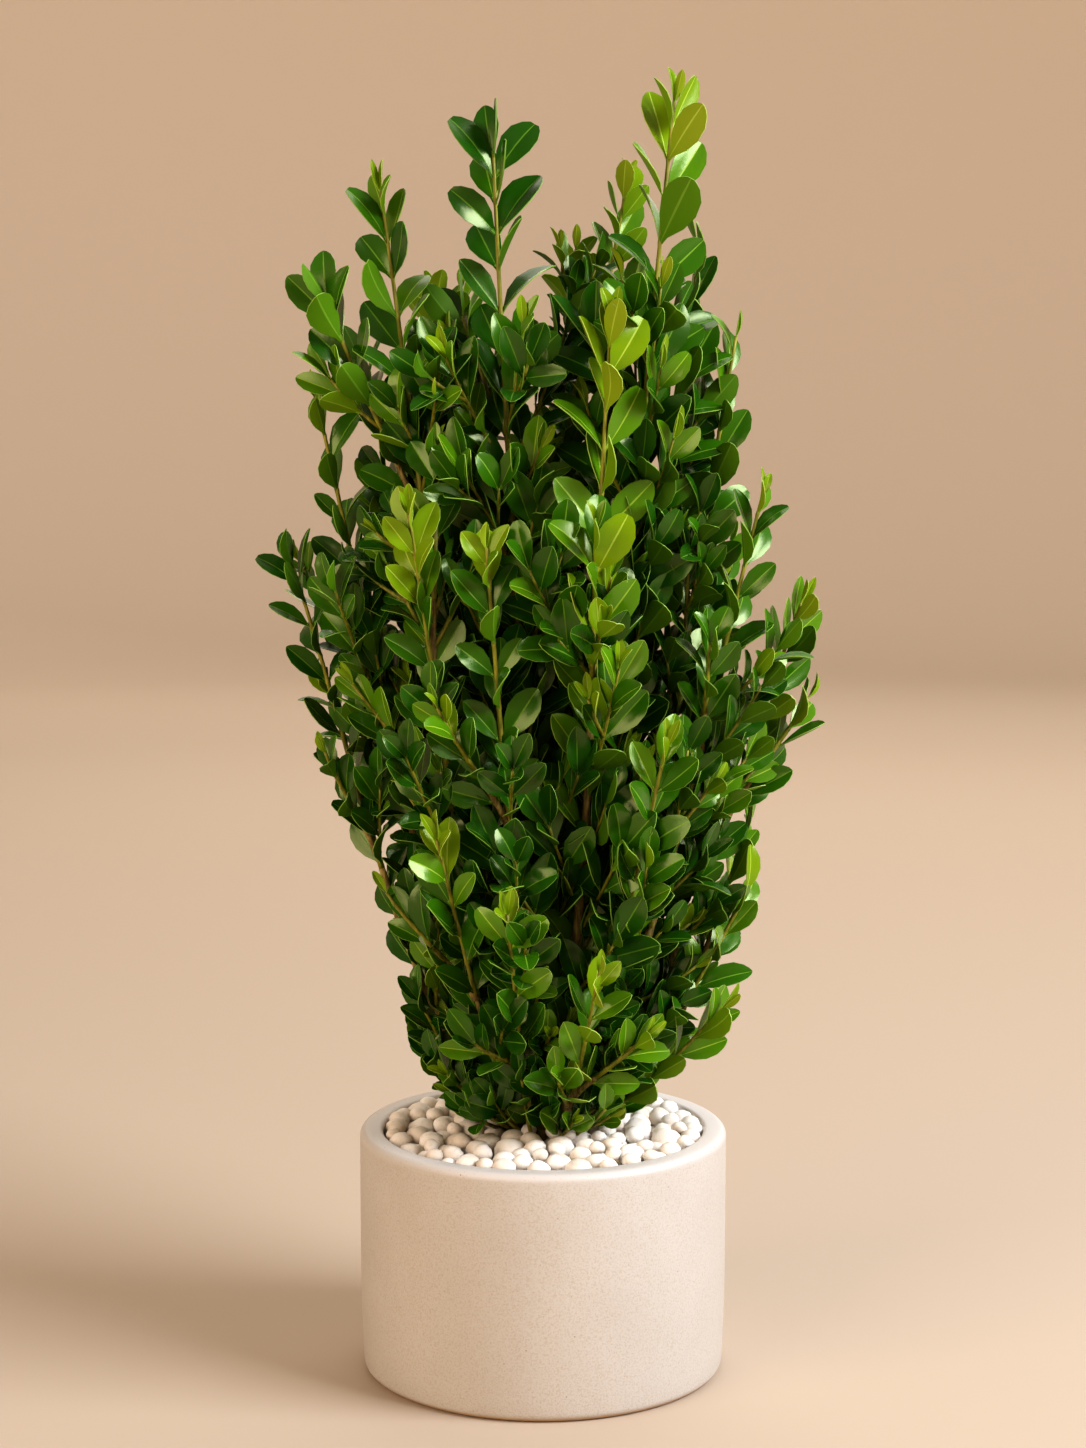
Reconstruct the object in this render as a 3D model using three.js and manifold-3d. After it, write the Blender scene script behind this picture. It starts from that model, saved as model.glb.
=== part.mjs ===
// A young boxwood shrub in a round pot, with many upright leafy stems that rise from one root crown.
// Millimetres, +Z up. The origin is the middle of the pot's flat underside, and the front faces -Y.
import * as THREE from 'three';
import { mergeVertices } from 'three/addons/utils/BufferGeometryUtils.js';
import Module from 'manifold-3d';

const wasm = await Module();
wasm.setup();

// The pot: a plain cylinder with a flat rounded rim and a softly rounded foot.
const POT_RADIUS = 70;
const POT_HEIGHT = 93.5;
const POT_WALL = 8.8;
const POT_FLOOR = 9;
const POT_FOOT_RADIUS = 66.3;
const POT_FOOT_ROUND = 4;
const POT_DRAFT = 1.2;
const POT_STRAIGHT_FROM = 45;
const RIM_OUTER_ROUND = 2.6;
const RIM_INNER_ROUND = 1.6;
const POT_SIDES = 36;
const POT_INNER_RADIUS = POT_RADIUS - POT_WALL;

// The filling: soil, and a low mound of round pebbles on it.
const GAP = 0.3;
const JOINT_GAP = 0.45;
const SOIL_TOP = 81;
const BED_TOP_AT_WALL = 89;
const BED_TOP_AT_FOOT = 92;
const BED_HOLE_RADIUS = 18.8;
const PEBBLE_COUNT = 42;
const PEBBLE_RADIUS = 5.2;
const PEBBLE_SMALLEST = 0.78;
const PEBBLE_FLATNESS = 0.8;
const PEBBLE_SINK = 0.2;
const PEBBLE_SIDES = 6;
const PEBBLE_ROWS = 3;
const BED_SIDES = 18;

// The root crown: a flared foot with a low dome on which every stem starts.
const FOOT_FLARE_RADIUS = 18.2;
const DOME_RADIUS = 16;
const DOME_HEIGHT = 87.5;
const FOOT_WAIST = 0.6;
const FOOT_FLARE_HEIGHT = 4;
const FOOT_SIDES = 16;
const CURVE_STEPS = 2;

// The stems. They start apart from each other on the dome and lean out less as they rise.
const START_SPACING = THREE.MathUtils.degToRad(17);
const START_LEAN_FACTOR = 1.7;
const START_LEAN_MOST = THREE.MathUtils.degToRad(66);
const SPREAD_ROUNDS = 400;
const SPREAD_SHARE = 0.25;
const START_REACH = 0.24;
const TIP_REACH = 0.34;
const TIP_UPRIGHT = 0.2;
const STEM_TIP_RADIUS = 0.7;
const STEM_BASE_RADIUS = 2.1;
const TALL_STEM = 390;
const SHORT_STEM_EXTRA = 0.25;
const FORK_BASE_RADIUS = 1.2;
const TWIG_BASE_RADIUS = 0.95;
const STEM_STEP = 52;
const BOUGH_SIDES = 5;
const TWIG_SIDES = 3;

// The leaves: opposite pairs, each pair a quarter turn on from the last.
const LEAF_LENGTH = 32;
const LEAF_WIDTH = 18;
const LEAF_THICKNESS = 0.9;
const LEAF_KEEL_AT = 0.12;
const LEAF_WIDEST_AT = 0.52;
const LEAF_TIP_AT = 0.98;
const LEAF_TIP_HALF_WIDTH = 0.16;
const LEAF_SMALLEST = 0.62;
const LEAF_GROWTH = 0.2;
const LEAF_LENGTH_PLAY = [0.9, 1.08];
const LEAF_ANGLE_PLAY = [0.8, 1.15];
const LEAF_ROLL = 0.3;
const PAIR_GAP = 24;
const PAIR_TURN_PLAY = 0.2;
const TIP_LEAF_REACH = 17;
const TIP_PAIR_SETBACK = 0.6;
const BARE_START = 8;
const LEAF_ANGLE = THREE.MathUtils.degToRad(48);
const TIP_LEAF_ANGLE = THREE.MathUtils.degToRad(20);

// The ways a leaf is tried, as factors of its angle and its size.
const LEAF_TRIES = [[1, 1], [0.6, 1], [1.25, 0.85], [0.5, 0.75]];

// Side twigs stand in a leaf's place. Forks set out halfway between their own line and their stem's.
const SIDE_TWIG_LENGTH = 56;
const SIDE_TWIG_LENGTH_PLAY = [0.8, 1];
const SIDE_TWIG_ANGLE = THREE.MathUtils.degToRad(42);
const SIDE_TWIG_RISE = 0.15;
const SIDE_TWIG_SHARE = 0.18;
const SIDE_TWIG_FROM_PAIR = 2;
const FORK_FOLLOWS = 0.8;

// What a leaf or limb keeps clear of the other masses, and a leaf of the leaves of its own.
const CLEAR_OF_OTHERS = 0.25;
const CLEAR_IN_MASS = 0.08;

// Corners closer than this are merged. Where solids are fused, edges shorter than this are closed up.
const SAME_CORNER = 1e-4;
const SHORTEST_EDGE = 0.01;

// Rounds of halving in which a height is found on a path, and the least useful length of an axis, squared.
const HALVINGS = 30;
const LEAST_AXIS = 1e-6;

// Each stem's highest leaf tip (x, y, z), and the share of the stem that is a bare bough below its leaves.
const STEMS = [
  ['tall_right', 49, -5, 488, 0.2],
  ['tall_centre', -19, -15, 478, 0.2],
  ['upper_left', -61, -5, 456, 0.2],
  ['back_right_tall', 64, 40, 454, 0.2],
  ['back_centre', 13, 50, 436, 0.2],
  ['back_left', -43, 45, 418, 0.2],
  ['front_right', 25, -36, 408, 0.18],
  ['right_upper', 74, 5, 403, 0.2],
  ['left_outer', -87, 0, 380, 0.18],
  ['right_mid', 84, -12, 345, 0.18],
  ['front_left', -50, -45, 340, 0.15],
  ['front_centre', -21, -52, 328, 0.15],
  ['far_left', -98, -8, 322, 0.15],
  ['back_upper', 22, 76, 352, 0.18],
  ['left_inner', -78, 32, 302, 0.15],
  ['right_outer', 101, 3, 303, 0.15],
  ['back_right', 76, 55, 320, 0.15],
  ['back_mid', -28, 78, 300, 0.15],
  ['front_right_low', 47, -50, 256, 0],
  ['front_low_left', -41, -54, 222, 0],
  ['back_low_left', -64, 52, 226, 0],
  ['back_low_right', 44, 72, 232, 0],
  ['right_low', 86, -8, 200, 0],
  ['low_front_left', -14, -64, 196, 0],
  ['low_front', 22, -66, 174, 0],
  ['left_bottom', -54, -12, 156, 0],
  ['right_bottom', 74, -22, 150, 0],
  ['back_bottom', -12, 66, 168, 0],
];

// The crown's space at a number of heights: its reach to the left and to the right, and its half depth.
const CROWN = [
  [92, 40, 40, 40],
  [110, 50, 52, 58],
  [134, 58, 78, 68],
  [150, 60, 82, 74],
  [193, 68, 84, 81],
  [240, 90, 106, 88],
  [262, 101, 111, 90],
  [306, 115, 106, 94],
  [324, 113, 98, 93],
  [338, 86, 90, 93],
  [362, 90, 82, 92],
  [380, 102, 80, 91],
  [420, 103, 80, 87],
  [456, 80, 68, 74],
  [492, 72, 62, 56],
];

// Forks: the stem each one leaves, the height where it does, and its own highest leaf tip.
const FORKS = [
  ['upper_left', 318, -86, -14, 423],
  ['back_centre', 330, 34, 42, 462],
  ['back_left', 300, -66, 62, 372],
  ['front_right', 236, 19, -56, 335],
  ['front_left', 268, -38, -22, 364],
  ['front_centre', 214, -42, -62, 270],
  ['right_outer', 212, 106, 8, 266],
  ['right_low', 140, 84, 26, 222],
  ['right_mid', 240, 62, -34, 296],
  ['back_mid', 220, -62, 70, 262],
  ['back_right', 230, 88, 30, 250],
  ['far_left', 200, -84, -30, 250],
  ['low_front_left', 122, -36, -52, 144],
  ['low_front', 112, 44, -50, 146],
  ['low_front', 106, 4, -64, 132],
  ['left_bottom', 106, -44, -34, 132],
  ['back_bottom', 116, -46, 44, 142],
  ['back_low_right', 122, 50, 42, 146],
  ['front_low_left', 150, -64, -34, 198],
  ['back_low_left', 138, -76, 26, 186],
  ['right_bottom', 108, 50, 16, 142],
];

// Every seeded choice comes from this one sequence, a linear congruential one of 32 bits.
const CHANCE_FACTOR = 1664525;
const CHANCE_STEP = 1013904223;
const CHANCE_RANGE = 2 ** 32;
let seed = 37;

function chance() {
  seed = (Math.imul(seed, CHANCE_FACTOR) + CHANCE_STEP) >>> 0;
  return seed / CHANCE_RANGE;
}

function between(low, high) {
  return low + (high - low) * chance();
}

// A closed geometry with its shared corners merged, turned so that its faces point out.
function weld(geometry) {
  const bare = new THREE.BufferGeometry();
  bare.setAttribute('position', geometry.getAttribute('position').clone());
  if (geometry.index) bare.setIndex(geometry.index.clone());
  const merged = mergeVertices(bare, SAME_CORNER);
  const position = merged.getAttribute('position');
  const corners = [];
  let volume = 0;
  for (let i = 0; i < merged.index.count; i += 3) {
    const face = [0, 1, 2].map((k) => merged.index.getX(i + k));
    if (face[0] === face[1] || face[1] === face[2] || face[2] === face[0]) continue;
    const [a, b, c] = face.map((k) => new THREE.Vector3().fromBufferAttribute(position, k));
    volume += a.dot(b.cross(c));
    corners.push(face);
  }
  if (volume < 0) corners.forEach((face) => face.reverse());
  merged.setIndex(corners.flat());
  return merged;
}

function solidOf(geometry) {
  const merged = weld(geometry);
  return new wasm.Manifold(new wasm.Mesh({
    numProp: 3,
    vertProperties: merged.getAttribute('position').array,
    triVerts: new Uint32Array(merged.index.array),
  }));
}

// All the solids as one geometry. Scraps that don't touch the largest body are dropped.
function fuse(solids) {
  const whole = solids.reduce((sum, solid) => sum.add(solid));
  const bodies = whole.simplify(SHORTEST_EDGE).decompose().sort((a, b) => b.volume() - a.volume());
  const { vertProperties, triVerts } = bodies[0].getMesh();
  const geometry = new THREE.BufferGeometry();
  geometry.setAttribute('position', new THREE.Float32BufferAttribute(vertProperties, 3));
  geometry.setIndex(Array.from(triVerts));
  return geometry;
}

const FINISHES = {
  pot: { color: '#e2d3c3', roughness: 0.62, metalness: 0 },
  soil: { color: '#3b2c20', roughness: 0.95, metalness: 0 },
  pebble: { color: '#e6dccd', roughness: 0.55, metalness: 0 },
  bark: { color: '#6f5a35', roughness: 0.8, metalness: 0 },
  foliage: { color: '#3f7a22', roughness: 0.4, metalness: 0 },
};

const plant = new THREE.Group();

function addPart(name, geometry, finish) {
  const flat = geometry.index ? geometry.toNonIndexed() : geometry;
  flat.computeVertexNormals();
  const material = new THREE.MeshStandardMaterial({ ...FINISHES[finish], flatShading: true });
  const mesh = new THREE.Mesh(flat, material);
  mesh.name = name;
  plant.add(mesh);
}

// A solid of revolution about Z from a path of (radius, height).
function turned(path, sides) {
  return weld(new THREE.LatheGeometry(path.getPoints(CURVE_STEPS), sides).rotateX(Math.PI / 2));
}

function potGeometry() {
  const rimOuter = POT_RADIUS - RIM_OUTER_ROUND;
  const rimInner = POT_INNER_RADIUS + RIM_INNER_ROUND;
  const profile = new THREE.Path();
  profile.moveTo(0, 0);
  profile.lineTo(POT_FOOT_RADIUS, 0);
  profile.quadraticCurveTo(POT_RADIUS - POT_DRAFT, 0, POT_RADIUS - POT_DRAFT, POT_FOOT_ROUND);
  profile.quadraticCurveTo(POT_RADIUS, POT_STRAIGHT_FROM / 3, POT_RADIUS, POT_STRAIGHT_FROM);
  profile.lineTo(POT_RADIUS, POT_HEIGHT - RIM_OUTER_ROUND);
  profile.quadraticCurveTo(POT_RADIUS, POT_HEIGHT, rimOuter, POT_HEIGHT);
  profile.lineTo(rimInner, POT_HEIGHT);
  profile.quadraticCurveTo(POT_INNER_RADIUS, POT_HEIGHT, POT_INNER_RADIUS, POT_HEIGHT - RIM_INNER_ROUND);
  profile.lineTo(POT_INNER_RADIUS, POT_FLOOR);
  profile.lineTo(0, POT_FLOOR);
  return turned(profile, POT_SIDES);
}

function soilGeometry() {
  const height = SOIL_TOP - POT_FLOOR - GAP;
  const plug = new THREE.CylinderGeometry(POT_INNER_RADIUS - GAP, POT_INNER_RADIUS - GAP, height, POT_SIDES);
  return weld(plug.rotateX(Math.PI / 2).translate(0, 0, POT_FLOOR + GAP + height / 2));
}

// Height of the pebble bed, without the pebbles that stand out of it.
function bedTop(radius) {
  const share = (radius - BED_HOLE_RADIUS) / (POT_INNER_RADIUS - BED_HOLE_RADIUS);
  return THREE.MathUtils.lerp(BED_TOP_AT_FOOT, BED_TOP_AT_WALL, THREE.MathUtils.clamp(share, 0, 1));
}

// The bed is a ring round the root crown, with pebbles half sunk in it, spread evenly by the golden angle.
function pebbleGeometry() {
  const outer = POT_INNER_RADIUS - GAP;
  const ring = new THREE.Path();
  ring.moveTo(BED_HOLE_RADIUS, SOIL_TOP + GAP);
  ring.lineTo(outer, SOIL_TOP + GAP);
  ring.lineTo(outer, BED_TOP_AT_WALL);
  ring.lineTo(BED_HOLE_RADIUS, BED_TOP_AT_FOOT);
  ring.lineTo(BED_HOLE_RADIUS, SOIL_TOP + GAP);
  const solids = [solidOf(turned(ring, BED_SIDES))];
  const nearest = BED_HOLE_RADIUS + PEBBLE_RADIUS;
  const furthest = outer - PEBBLE_RADIUS - GAP;
  const goldenAngle = Math.PI * (3 - Math.sqrt(5));
  for (let k = 0; k < PEBBLE_COUNT; k += 1) {
    const share = (k + 0.5) / PEBBLE_COUNT;
    const radius = Math.sqrt(THREE.MathUtils.lerp(nearest ** 2, furthest ** 2, share));
    const size = PEBBLE_RADIUS * between(PEBBLE_SMALLEST, 1);
    const pebble = new THREE.SphereGeometry(size, PEBBLE_SIDES, PEBBLE_ROWS);
    pebble.rotateX(Math.PI / 2).rotateZ(between(0, Math.PI)).scale(1, 1, PEBBLE_FLATNESS);
    const turn = k * goldenAngle;
    pebble.translate(radius * Math.cos(turn), radius * Math.sin(turn), bedTop(radius) - PEBBLE_SINK);
    solids.push(solidOf(pebble));
  }
  return fuse(solids);
}

function footGeometry() {
  const profile = new THREE.Path();
  profile.moveTo(0, SOIL_TOP + GAP);
  profile.lineTo(FOOT_FLARE_RADIUS, SOIL_TOP + GAP);
  profile.quadraticCurveTo(DOME_RADIUS - FOOT_WAIST, SOIL_TOP + FOOT_FLARE_HEIGHT, DOME_RADIUS, DOME_HEIGHT);
  profile.absarc(0, DOME_HEIGHT, DOME_RADIUS, 0, Math.PI / 2, false);
  return turned(profile, FOOT_SIDES);
}

const UP = new THREE.Vector3(0, 0, 1);
const DOME_CENTRE = new THREE.Vector3(0, 0, DOME_HEIGHT);

// The way each stem sets out from the dome, leaning further than the stem as a whole.
// Neighbours that would start too close are moved apart round the dome.
function startDirections(tips) {
  const ways = tips.map((tip) => {
    const chord = tip.clone().sub(DOME_CENTRE);
    const lean = Math.min(chord.angleTo(UP) * START_LEAN_FACTOR, START_LEAN_MOST);
    const turn = Math.atan2(chord.y, chord.x);
    const outward = Math.sin(lean);
    return new THREE.Vector3(outward * Math.cos(turn), outward * Math.sin(turn), Math.cos(lean));
  });
  for (let round = 0; round < SPREAD_ROUNDS; round += 1) {
    for (let i = 0; i < ways.length; i += 1) {
      for (let j = i + 1; j < ways.length; j += 1) {
        const lack = START_SPACING - ways[i].angleTo(ways[j]);
        if (lack <= 0) continue;
        const push = ways[i].clone().sub(ways[j]).normalize().multiplyScalar(lack * SPREAD_SHARE);
        ways[i].add(push).normalize();
        ways[j].sub(push).normalize();
      }
    }
    for (const way of ways) {
      const lowest = Math.cos(START_LEAN_MOST);
      if (way.z >= lowest) continue;
      way.z = 0;
      way.setLength(Math.sin(START_LEAN_MOST)).setZ(lowest);
    }
  }
  return ways;
}

// A smooth path that leaves its start along a direction and comes up to its tip.
function growthPath(start, way, tip) {
  const chord = tip.clone().sub(start);
  const length = chord.length();
  const arrival = chord.clone().normalize().addScaledVector(UP, TIP_UPRIGHT).normalize();
  return new THREE.CubicBezierCurve3(
    start,
    start.clone().addScaledVector(way, length * START_REACH),
    tip.clone().addScaledVector(arrival, -length * TIP_REACH),
    tip,
  );
}

// Two directions across a limb, steady along its whole length.
function across(shoot, t) {
  const along = shoot.path.getTangent(t);
  const first = shoot.flank.clone().addScaledVector(along, -shoot.flank.dot(along)).normalize();
  return { along, first, second: new THREE.Vector3().crossVectors(first, along) };
}

// The share of a rising path at which it reaches a height.
function shareAtHeight(path, height) {
  let low = 0;
  let high = 1;
  for (let k = 0; k < HALVINGS; k += 1) {
    const middle = (low + high) / 2;
    if (path.getPoint(middle).z < height) low = middle;
    else high = middle;
  }
  return low;
}

function radiusAt(shoot, t) {
  return THREE.MathUtils.lerp(shoot.baseRadius, STEM_TIP_RADIUS, t);
}

function makeShoot(mass, path, from, baseRadius) {
  const chord = path.v3.clone().sub(path.v0);
  const flank = new THREE.Vector3().crossVectors(chord, UP).normalize();
  const length = path.getLength();
  return { mass, path, from, to: 1 - TIP_LEAF_REACH / length, baseRadius, flank, length };
}

// A tapering limb: a cylinder whose rings are moved onto a stretch of the shoot's path.
function limbGeometry(shoot, from, to, sides) {
  const steps = Math.max(1, Math.round((to - from) * shoot.length / STEM_STEP));
  const limb = new THREE.CylinderGeometry(1, 1, 1, sides, steps);
  const position = limb.getAttribute('position');
  for (let i = 0; i < position.count; i += 1) {
    const t = THREE.MathUtils.lerp(from, to, position.getY(i) + 0.5);
    const { first, second } = across(shoot, t);
    const radius = radiusAt(shoot, t);
    const point = shoot.path.getPoint(t)
      .addScaledVector(first, position.getX(i) * radius)
      .addScaledVector(second, position.getZ(i) * radius);
    position.setXYZ(i, point.x, point.y, point.z);
  }
  return { geometry: weld(limb), steps };
}

// A convex piece for the test of what is clear of what: its corners, face normals and edge directions.
function convexPiece(mass, points, faces) {
  const normals = [];
  const edges = [];
  for (const [a, b, c] of faces) {
    const side = points[b].clone().sub(points[a]);
    normals.push(side.clone().cross(points[c].clone().sub(points[a])).normalize());
    edges.push(side.normalize());
  }
  return { mass, points, normals, edges, box: new THREE.Box3().setFromPoints(points) };
}

// The limb's steps as convex pieces.
function limbPieces(shoot, from, to, sides, steps, owner) {
  const pieces = [];
  const ring = (t) => {
    const { first, second } = across(shoot, t);
    const centre = shoot.path.getPoint(t);
    return Array.from({ length: sides }, (_, k) => {
      const turn = 2 * Math.PI * k / sides;
      return centre.clone()
        .addScaledVector(first, Math.sin(turn) * radiusAt(shoot, t))
        .addScaledVector(second, Math.cos(turn) * radiusAt(shoot, t));
    });
  };
  const faces = [[0, 1, 2], [sides, sides + 1, sides + 2]];
  for (let k = 0; k < sides; k += 1) {
    const next = (k + 1) % sides;
    faces.push([k, next, sides + k], [next, sides + next, sides + k]);
  }
  for (let step = 0; step < steps; step += 1) {
    const low = THREE.MathUtils.lerp(from, to, step / steps);
    const high = THREE.MathUtils.lerp(from, to, (step + 1) / steps);
    pieces.push(convexPiece(owner, [...ring(low), ...ring(high)], faces));
  }
  return pieces;
}

function spanAlong(points, axis) {
  const reach = points.map((point) => point.dot(axis));
  return [Math.min(...reach), Math.max(...reach)];
}

// Two convex pieces are apart where some direction keeps their shadows the gap apart.
function apart(a, b, gap) {
  if (!a.box.clone().expandByScalar(gap).intersectsBox(b.box)) return true;
  const axes = [...a.normals, ...b.normals];
  for (const p of a.edges) {
    for (const q of b.edges) {
      const axis = new THREE.Vector3().crossVectors(p, q);
      if (axis.lengthSq() > LEAST_AXIS) axes.push(axis.normalize());
    }
  }
  return axes.some((axis) => {
    const [lowA, highA] = spanAlong(a.points, axis);
    const [lowB, highB] = spanAlong(b.points, axis);
    return lowB - highA > gap || lowA - highB > gap;
  });
}

// Nothing of the plant reaches down into the pebbles or the rim.
function clearOfPot(points) {
  return points.every((point) => {
    const radius = Math.hypot(point.x, point.y);
    if (radius < POT_INNER_RADIUS) return point.z > bedTop(radius) + PEBBLE_RADIUS * PEBBLE_FLATNESS;
    return point.z > POT_HEIGHT + GAP;
  });
}

// Leaves and side twigs stay in the crown's space.
function inCrown(points) {
  return points.every(({ x, y, z }) => {
    const above = CROWN.findIndex(([height]) => height > z);
    if (above < 1) return false;
    const [low, high] = [CROWN[above - 1], CROWN[above]];
    const share = (z - low[0]) / (high[0] - low[0]);
    const side = x < 0 ? 1 : 2;
    const reach = THREE.MathUtils.lerp(low[side], high[side], share);
    const halfDepth = THREE.MathUtils.lerp(low[3], high[3], share);
    return Math.hypot(x / reach, y / halfDepth) < 1;
  });
}

// What stands so far. Boughs, stems and twigs are limbs. The root crown counts as a block round its dome.
const limbs = [];
const leaves = [];
const rootCrown = convexPiece(
  'stem_foot',
  [-1, 1].flatMap((x) => [-1, 1].flatMap((y) => [-1, 1].map((z) => (
    new THREE.Vector3(x, y, z).multiplyScalar(DOME_RADIUS).add(DOME_CENTRE))))),
  [[0, 1, 3], [0, 2, 6], [0, 4, 5]],
);

// A piece keeps clear of what other nodes hold.
function clearOfOthers(piece) {
  const clear = (other) => other.mass === piece.mass || apart(piece, other, CLEAR_OF_OTHERS);
  return limbs.every(clear) && leaves.every(clear);
}

// A leaf also keeps clear of its own node's leaves, apart from the other one of its pair.
function clearInMass(leaf, partner) {
  const siblings = leaves.filter((other) => other.mass === leaf.mass && other !== partner);
  return siblings.every((other) => apart(leaf, other, CLEAR_IN_MASS));
}

// A leaf is a blunt flat blade with a keel below.
// Its corners are the root, the left, the right, the two of the tip and the keel.
const LEAF_FACES = [
  [0, 2, 1], [1, 2, 4], [1, 4, 3], [0, 1, 5], [0, 5, 2], [1, 3, 5], [3, 4, 5], [4, 2, 5],
];

function leafPoints(root, way, face, length) {
  const wide = new THREE.Vector3().crossVectors(way, face);
  const width = length * LEAF_WIDTH / LEAF_LENGTH;
  const at = (along, side, lift) => root.clone()
    .addScaledVector(way, along * length)
    .addScaledVector(wide, side * width)
    .addScaledVector(face, lift * LEAF_THICKNESS);
  return [
    at(0, 0, 0),
    at(LEAF_WIDEST_AT, -0.5, 0),
    at(LEAF_WIDEST_AT, 0.5, 0),
    at(LEAF_TIP_AT, -LEAF_TIP_HALF_WIDTH, 0),
    at(LEAF_TIP_AT, LEAF_TIP_HALF_WIDTH, 0),
    at(LEAF_KEEL_AT, 0, -1),
  ];
}

function leafGeometry(points) {
  const leaf = new THREE.BufferGeometry().setFromPoints(points);
  leaf.setIndex(LEAF_FACES.flat());
  return leaf;
}

// The places along a shoot where its pairs of leaves stand, from the tip down.
function leafNodes(shoot) {
  const nodes = [];
  const firstTurn = between(0, Math.PI);
  const lowest = shoot.from + BARE_START / shoot.length;
  for (let k = 0; ; k += 1) {
    const t = shoot.to - (k * PAIR_GAP + TIP_PAIR_SETBACK) / shoot.length;
    if (k > 0 && t < lowest) return nodes;
    const turn = firstTurn + k * Math.PI / 2 + between(-PAIR_TURN_PLAY, PAIR_TURN_PLAY);
    nodes.push({ t, turn, order: k, grown: Math.min(1, LEAF_SMALLEST + k * LEAF_GROWTH) });
  }
}

// The direction across the shoot in which one side of a leaf pair grows.
function outward(shoot, node, side) {
  const { along, first, second } = across(shoot, node.t);
  const turn = node.turn + side * Math.PI;
  const out = first.clone().multiplyScalar(Math.cos(turn)).addScaledVector(second, Math.sin(turn));
  return { along, out };
}

// A leaf that would touch something is first turned up or down, then made smaller, then left out.
function growLeaf(shoot, node, side, partner) {
  const { along, out } = outward(shoot, node, side);
  const opening = node.order === 0 ? TIP_LEAF_ANGLE : LEAF_ANGLE * between(...LEAF_ANGLE_PLAY);
  const roll = between(-LEAF_ROLL, LEAF_ROLL);
  const length = LEAF_LENGTH * node.grown * between(...LEAF_LENGTH_PLAY);
  const root = shoot.path.getPoint(node.t);
  for (const [openFactor, sizeFactor] of LEAF_TRIES) {
    const angle = opening * openFactor;
    const way = along.clone().multiplyScalar(Math.cos(angle)).addScaledVector(out, Math.sin(angle));
    const face = along.clone().multiplyScalar(Math.sin(angle)).addScaledVector(out, -Math.cos(angle));
    face.applyAxisAngle(way, roll);
    const leaf = convexPiece(shoot.mass, leafPoints(root, way, face, length * sizeFactor), LEAF_FACES);
    const inside = clearOfPot(leaf.points) && inCrown(leaf.points) && apart(leaf, rootCrown, 0);
    if (!inside || !clearOfOthers(leaf) || !clearInMass(leaf, partner)) continue;
    leaves.push(leaf);
    return leaf;
  }
  return null;
}

// A limb is kept where none of its steps touches a limb or leaf of another node.
function growLimb(shoot, from, to, sides, owner) {
  const { geometry, steps } = limbGeometry(shoot, from, to, sides);
  const pieces = limbPieces(shoot, from, to, sides, steps, owner);
  if (!pieces.every(clearOfOthers)) return null;
  limbs.push(...pieces);
  return geometry;
}

// A side twig takes a leaf's place and bears leaves of its own.
function growSideTwig(shoot, node, side) {
  const { along, out } = outward(shoot, node, side);
  const way = along.clone().multiplyScalar(Math.cos(SIDE_TWIG_ANGLE));
  way.addScaledVector(out, Math.sin(SIDE_TWIG_ANGLE));
  const root = shoot.path.getPoint(node.t);
  const length = SIDE_TWIG_LENGTH * between(...SIDE_TWIG_LENGTH_PLAY);
  const tip = root.clone().addScaledVector(way, length).addScaledVector(UP, length * SIDE_TWIG_RISE);
  const twig = makeShoot(shoot.mass, growthPath(root, way, tip), 0, TWIG_BASE_RADIUS);
  if (!clearOfPot([tip]) || !inCrown([tip])) return false;
  const limb = growLimb(twig, 0, twig.to, TWIG_SIDES, shoot.mass);
  if (!limb) return false;
  solids[shoot.mass].push(solidOf(limb));
  for (const twigNode of leafNodes(twig)) growPair(twig, twigNode);
  return true;
}

function growPair(shoot, node) {
  const near = growLeaf(shoot, node, 0, null);
  growLeaf(shoot, node, 1, near);
}

const solids = {};
const shoots = [];
const tips = STEMS.map(([, x, y, z]) => new THREE.Vector3(x, y, z));
const ways = startDirections(tips);

// Each stem is a bough up to its leaves and goes on as the stem of its mass.
STEMS.forEach(([mass, , , , bare], i) => {
  const start = DOME_CENTRE.clone().addScaledVector(ways[i], DOME_RADIUS + GAP);
  const path = growthPath(start, ways[i], tips[i]);
  const stoutness = Math.min(1, path.getLength() / TALL_STEM + SHORT_STEM_EXTRA);
  const shoot = makeShoot(mass, path, 0, STEM_BASE_RADIUS * stoutness);
  if (bare > 0) {
    const bough = growLimb(shoot, 0, bare, BOUGH_SIDES, `bough_${mass}`);
    if (!bough) throw new Error(`the bough of ${mass} touches another`);
    addPart(`bough_${mass}`, bough, 'bark');
    shoot.from = bare + JOINT_GAP / shoot.length;
  }
  const stem = growLimb(shoot, shoot.from, shoot.to, TWIG_SIDES, mass);
  if (!stem) throw new Error(`the stem of ${mass} touches another`);
  solids[mass] = [solidOf(stem)];
  shoots.push(shoot);
});

// A fork leaves its stem and bears leaves of the same mass.
for (const [mass, height, x, y, z] of FORKS) {
  const parent = shoots.find((shoot) => shoot.mass === mass);
  const t = shareAtHeight(parent.path, height);
  const root = parent.path.getPoint(t);
  const tip = new THREE.Vector3(x, y, z);
  const way = tip.clone().sub(root).normalize();
  way.addScaledVector(parent.path.getTangent(t), FORK_FOLLOWS).normalize();
  const fork = makeShoot(mass, growthPath(root, way, tip), 0, FORK_BASE_RADIUS);
  const limb = growLimb(fork, 0, fork.to, TWIG_SIDES, mass);
  if (!limb) continue;
  solids[mass].push(solidOf(limb));
  shoots.push(fork);
}

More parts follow.
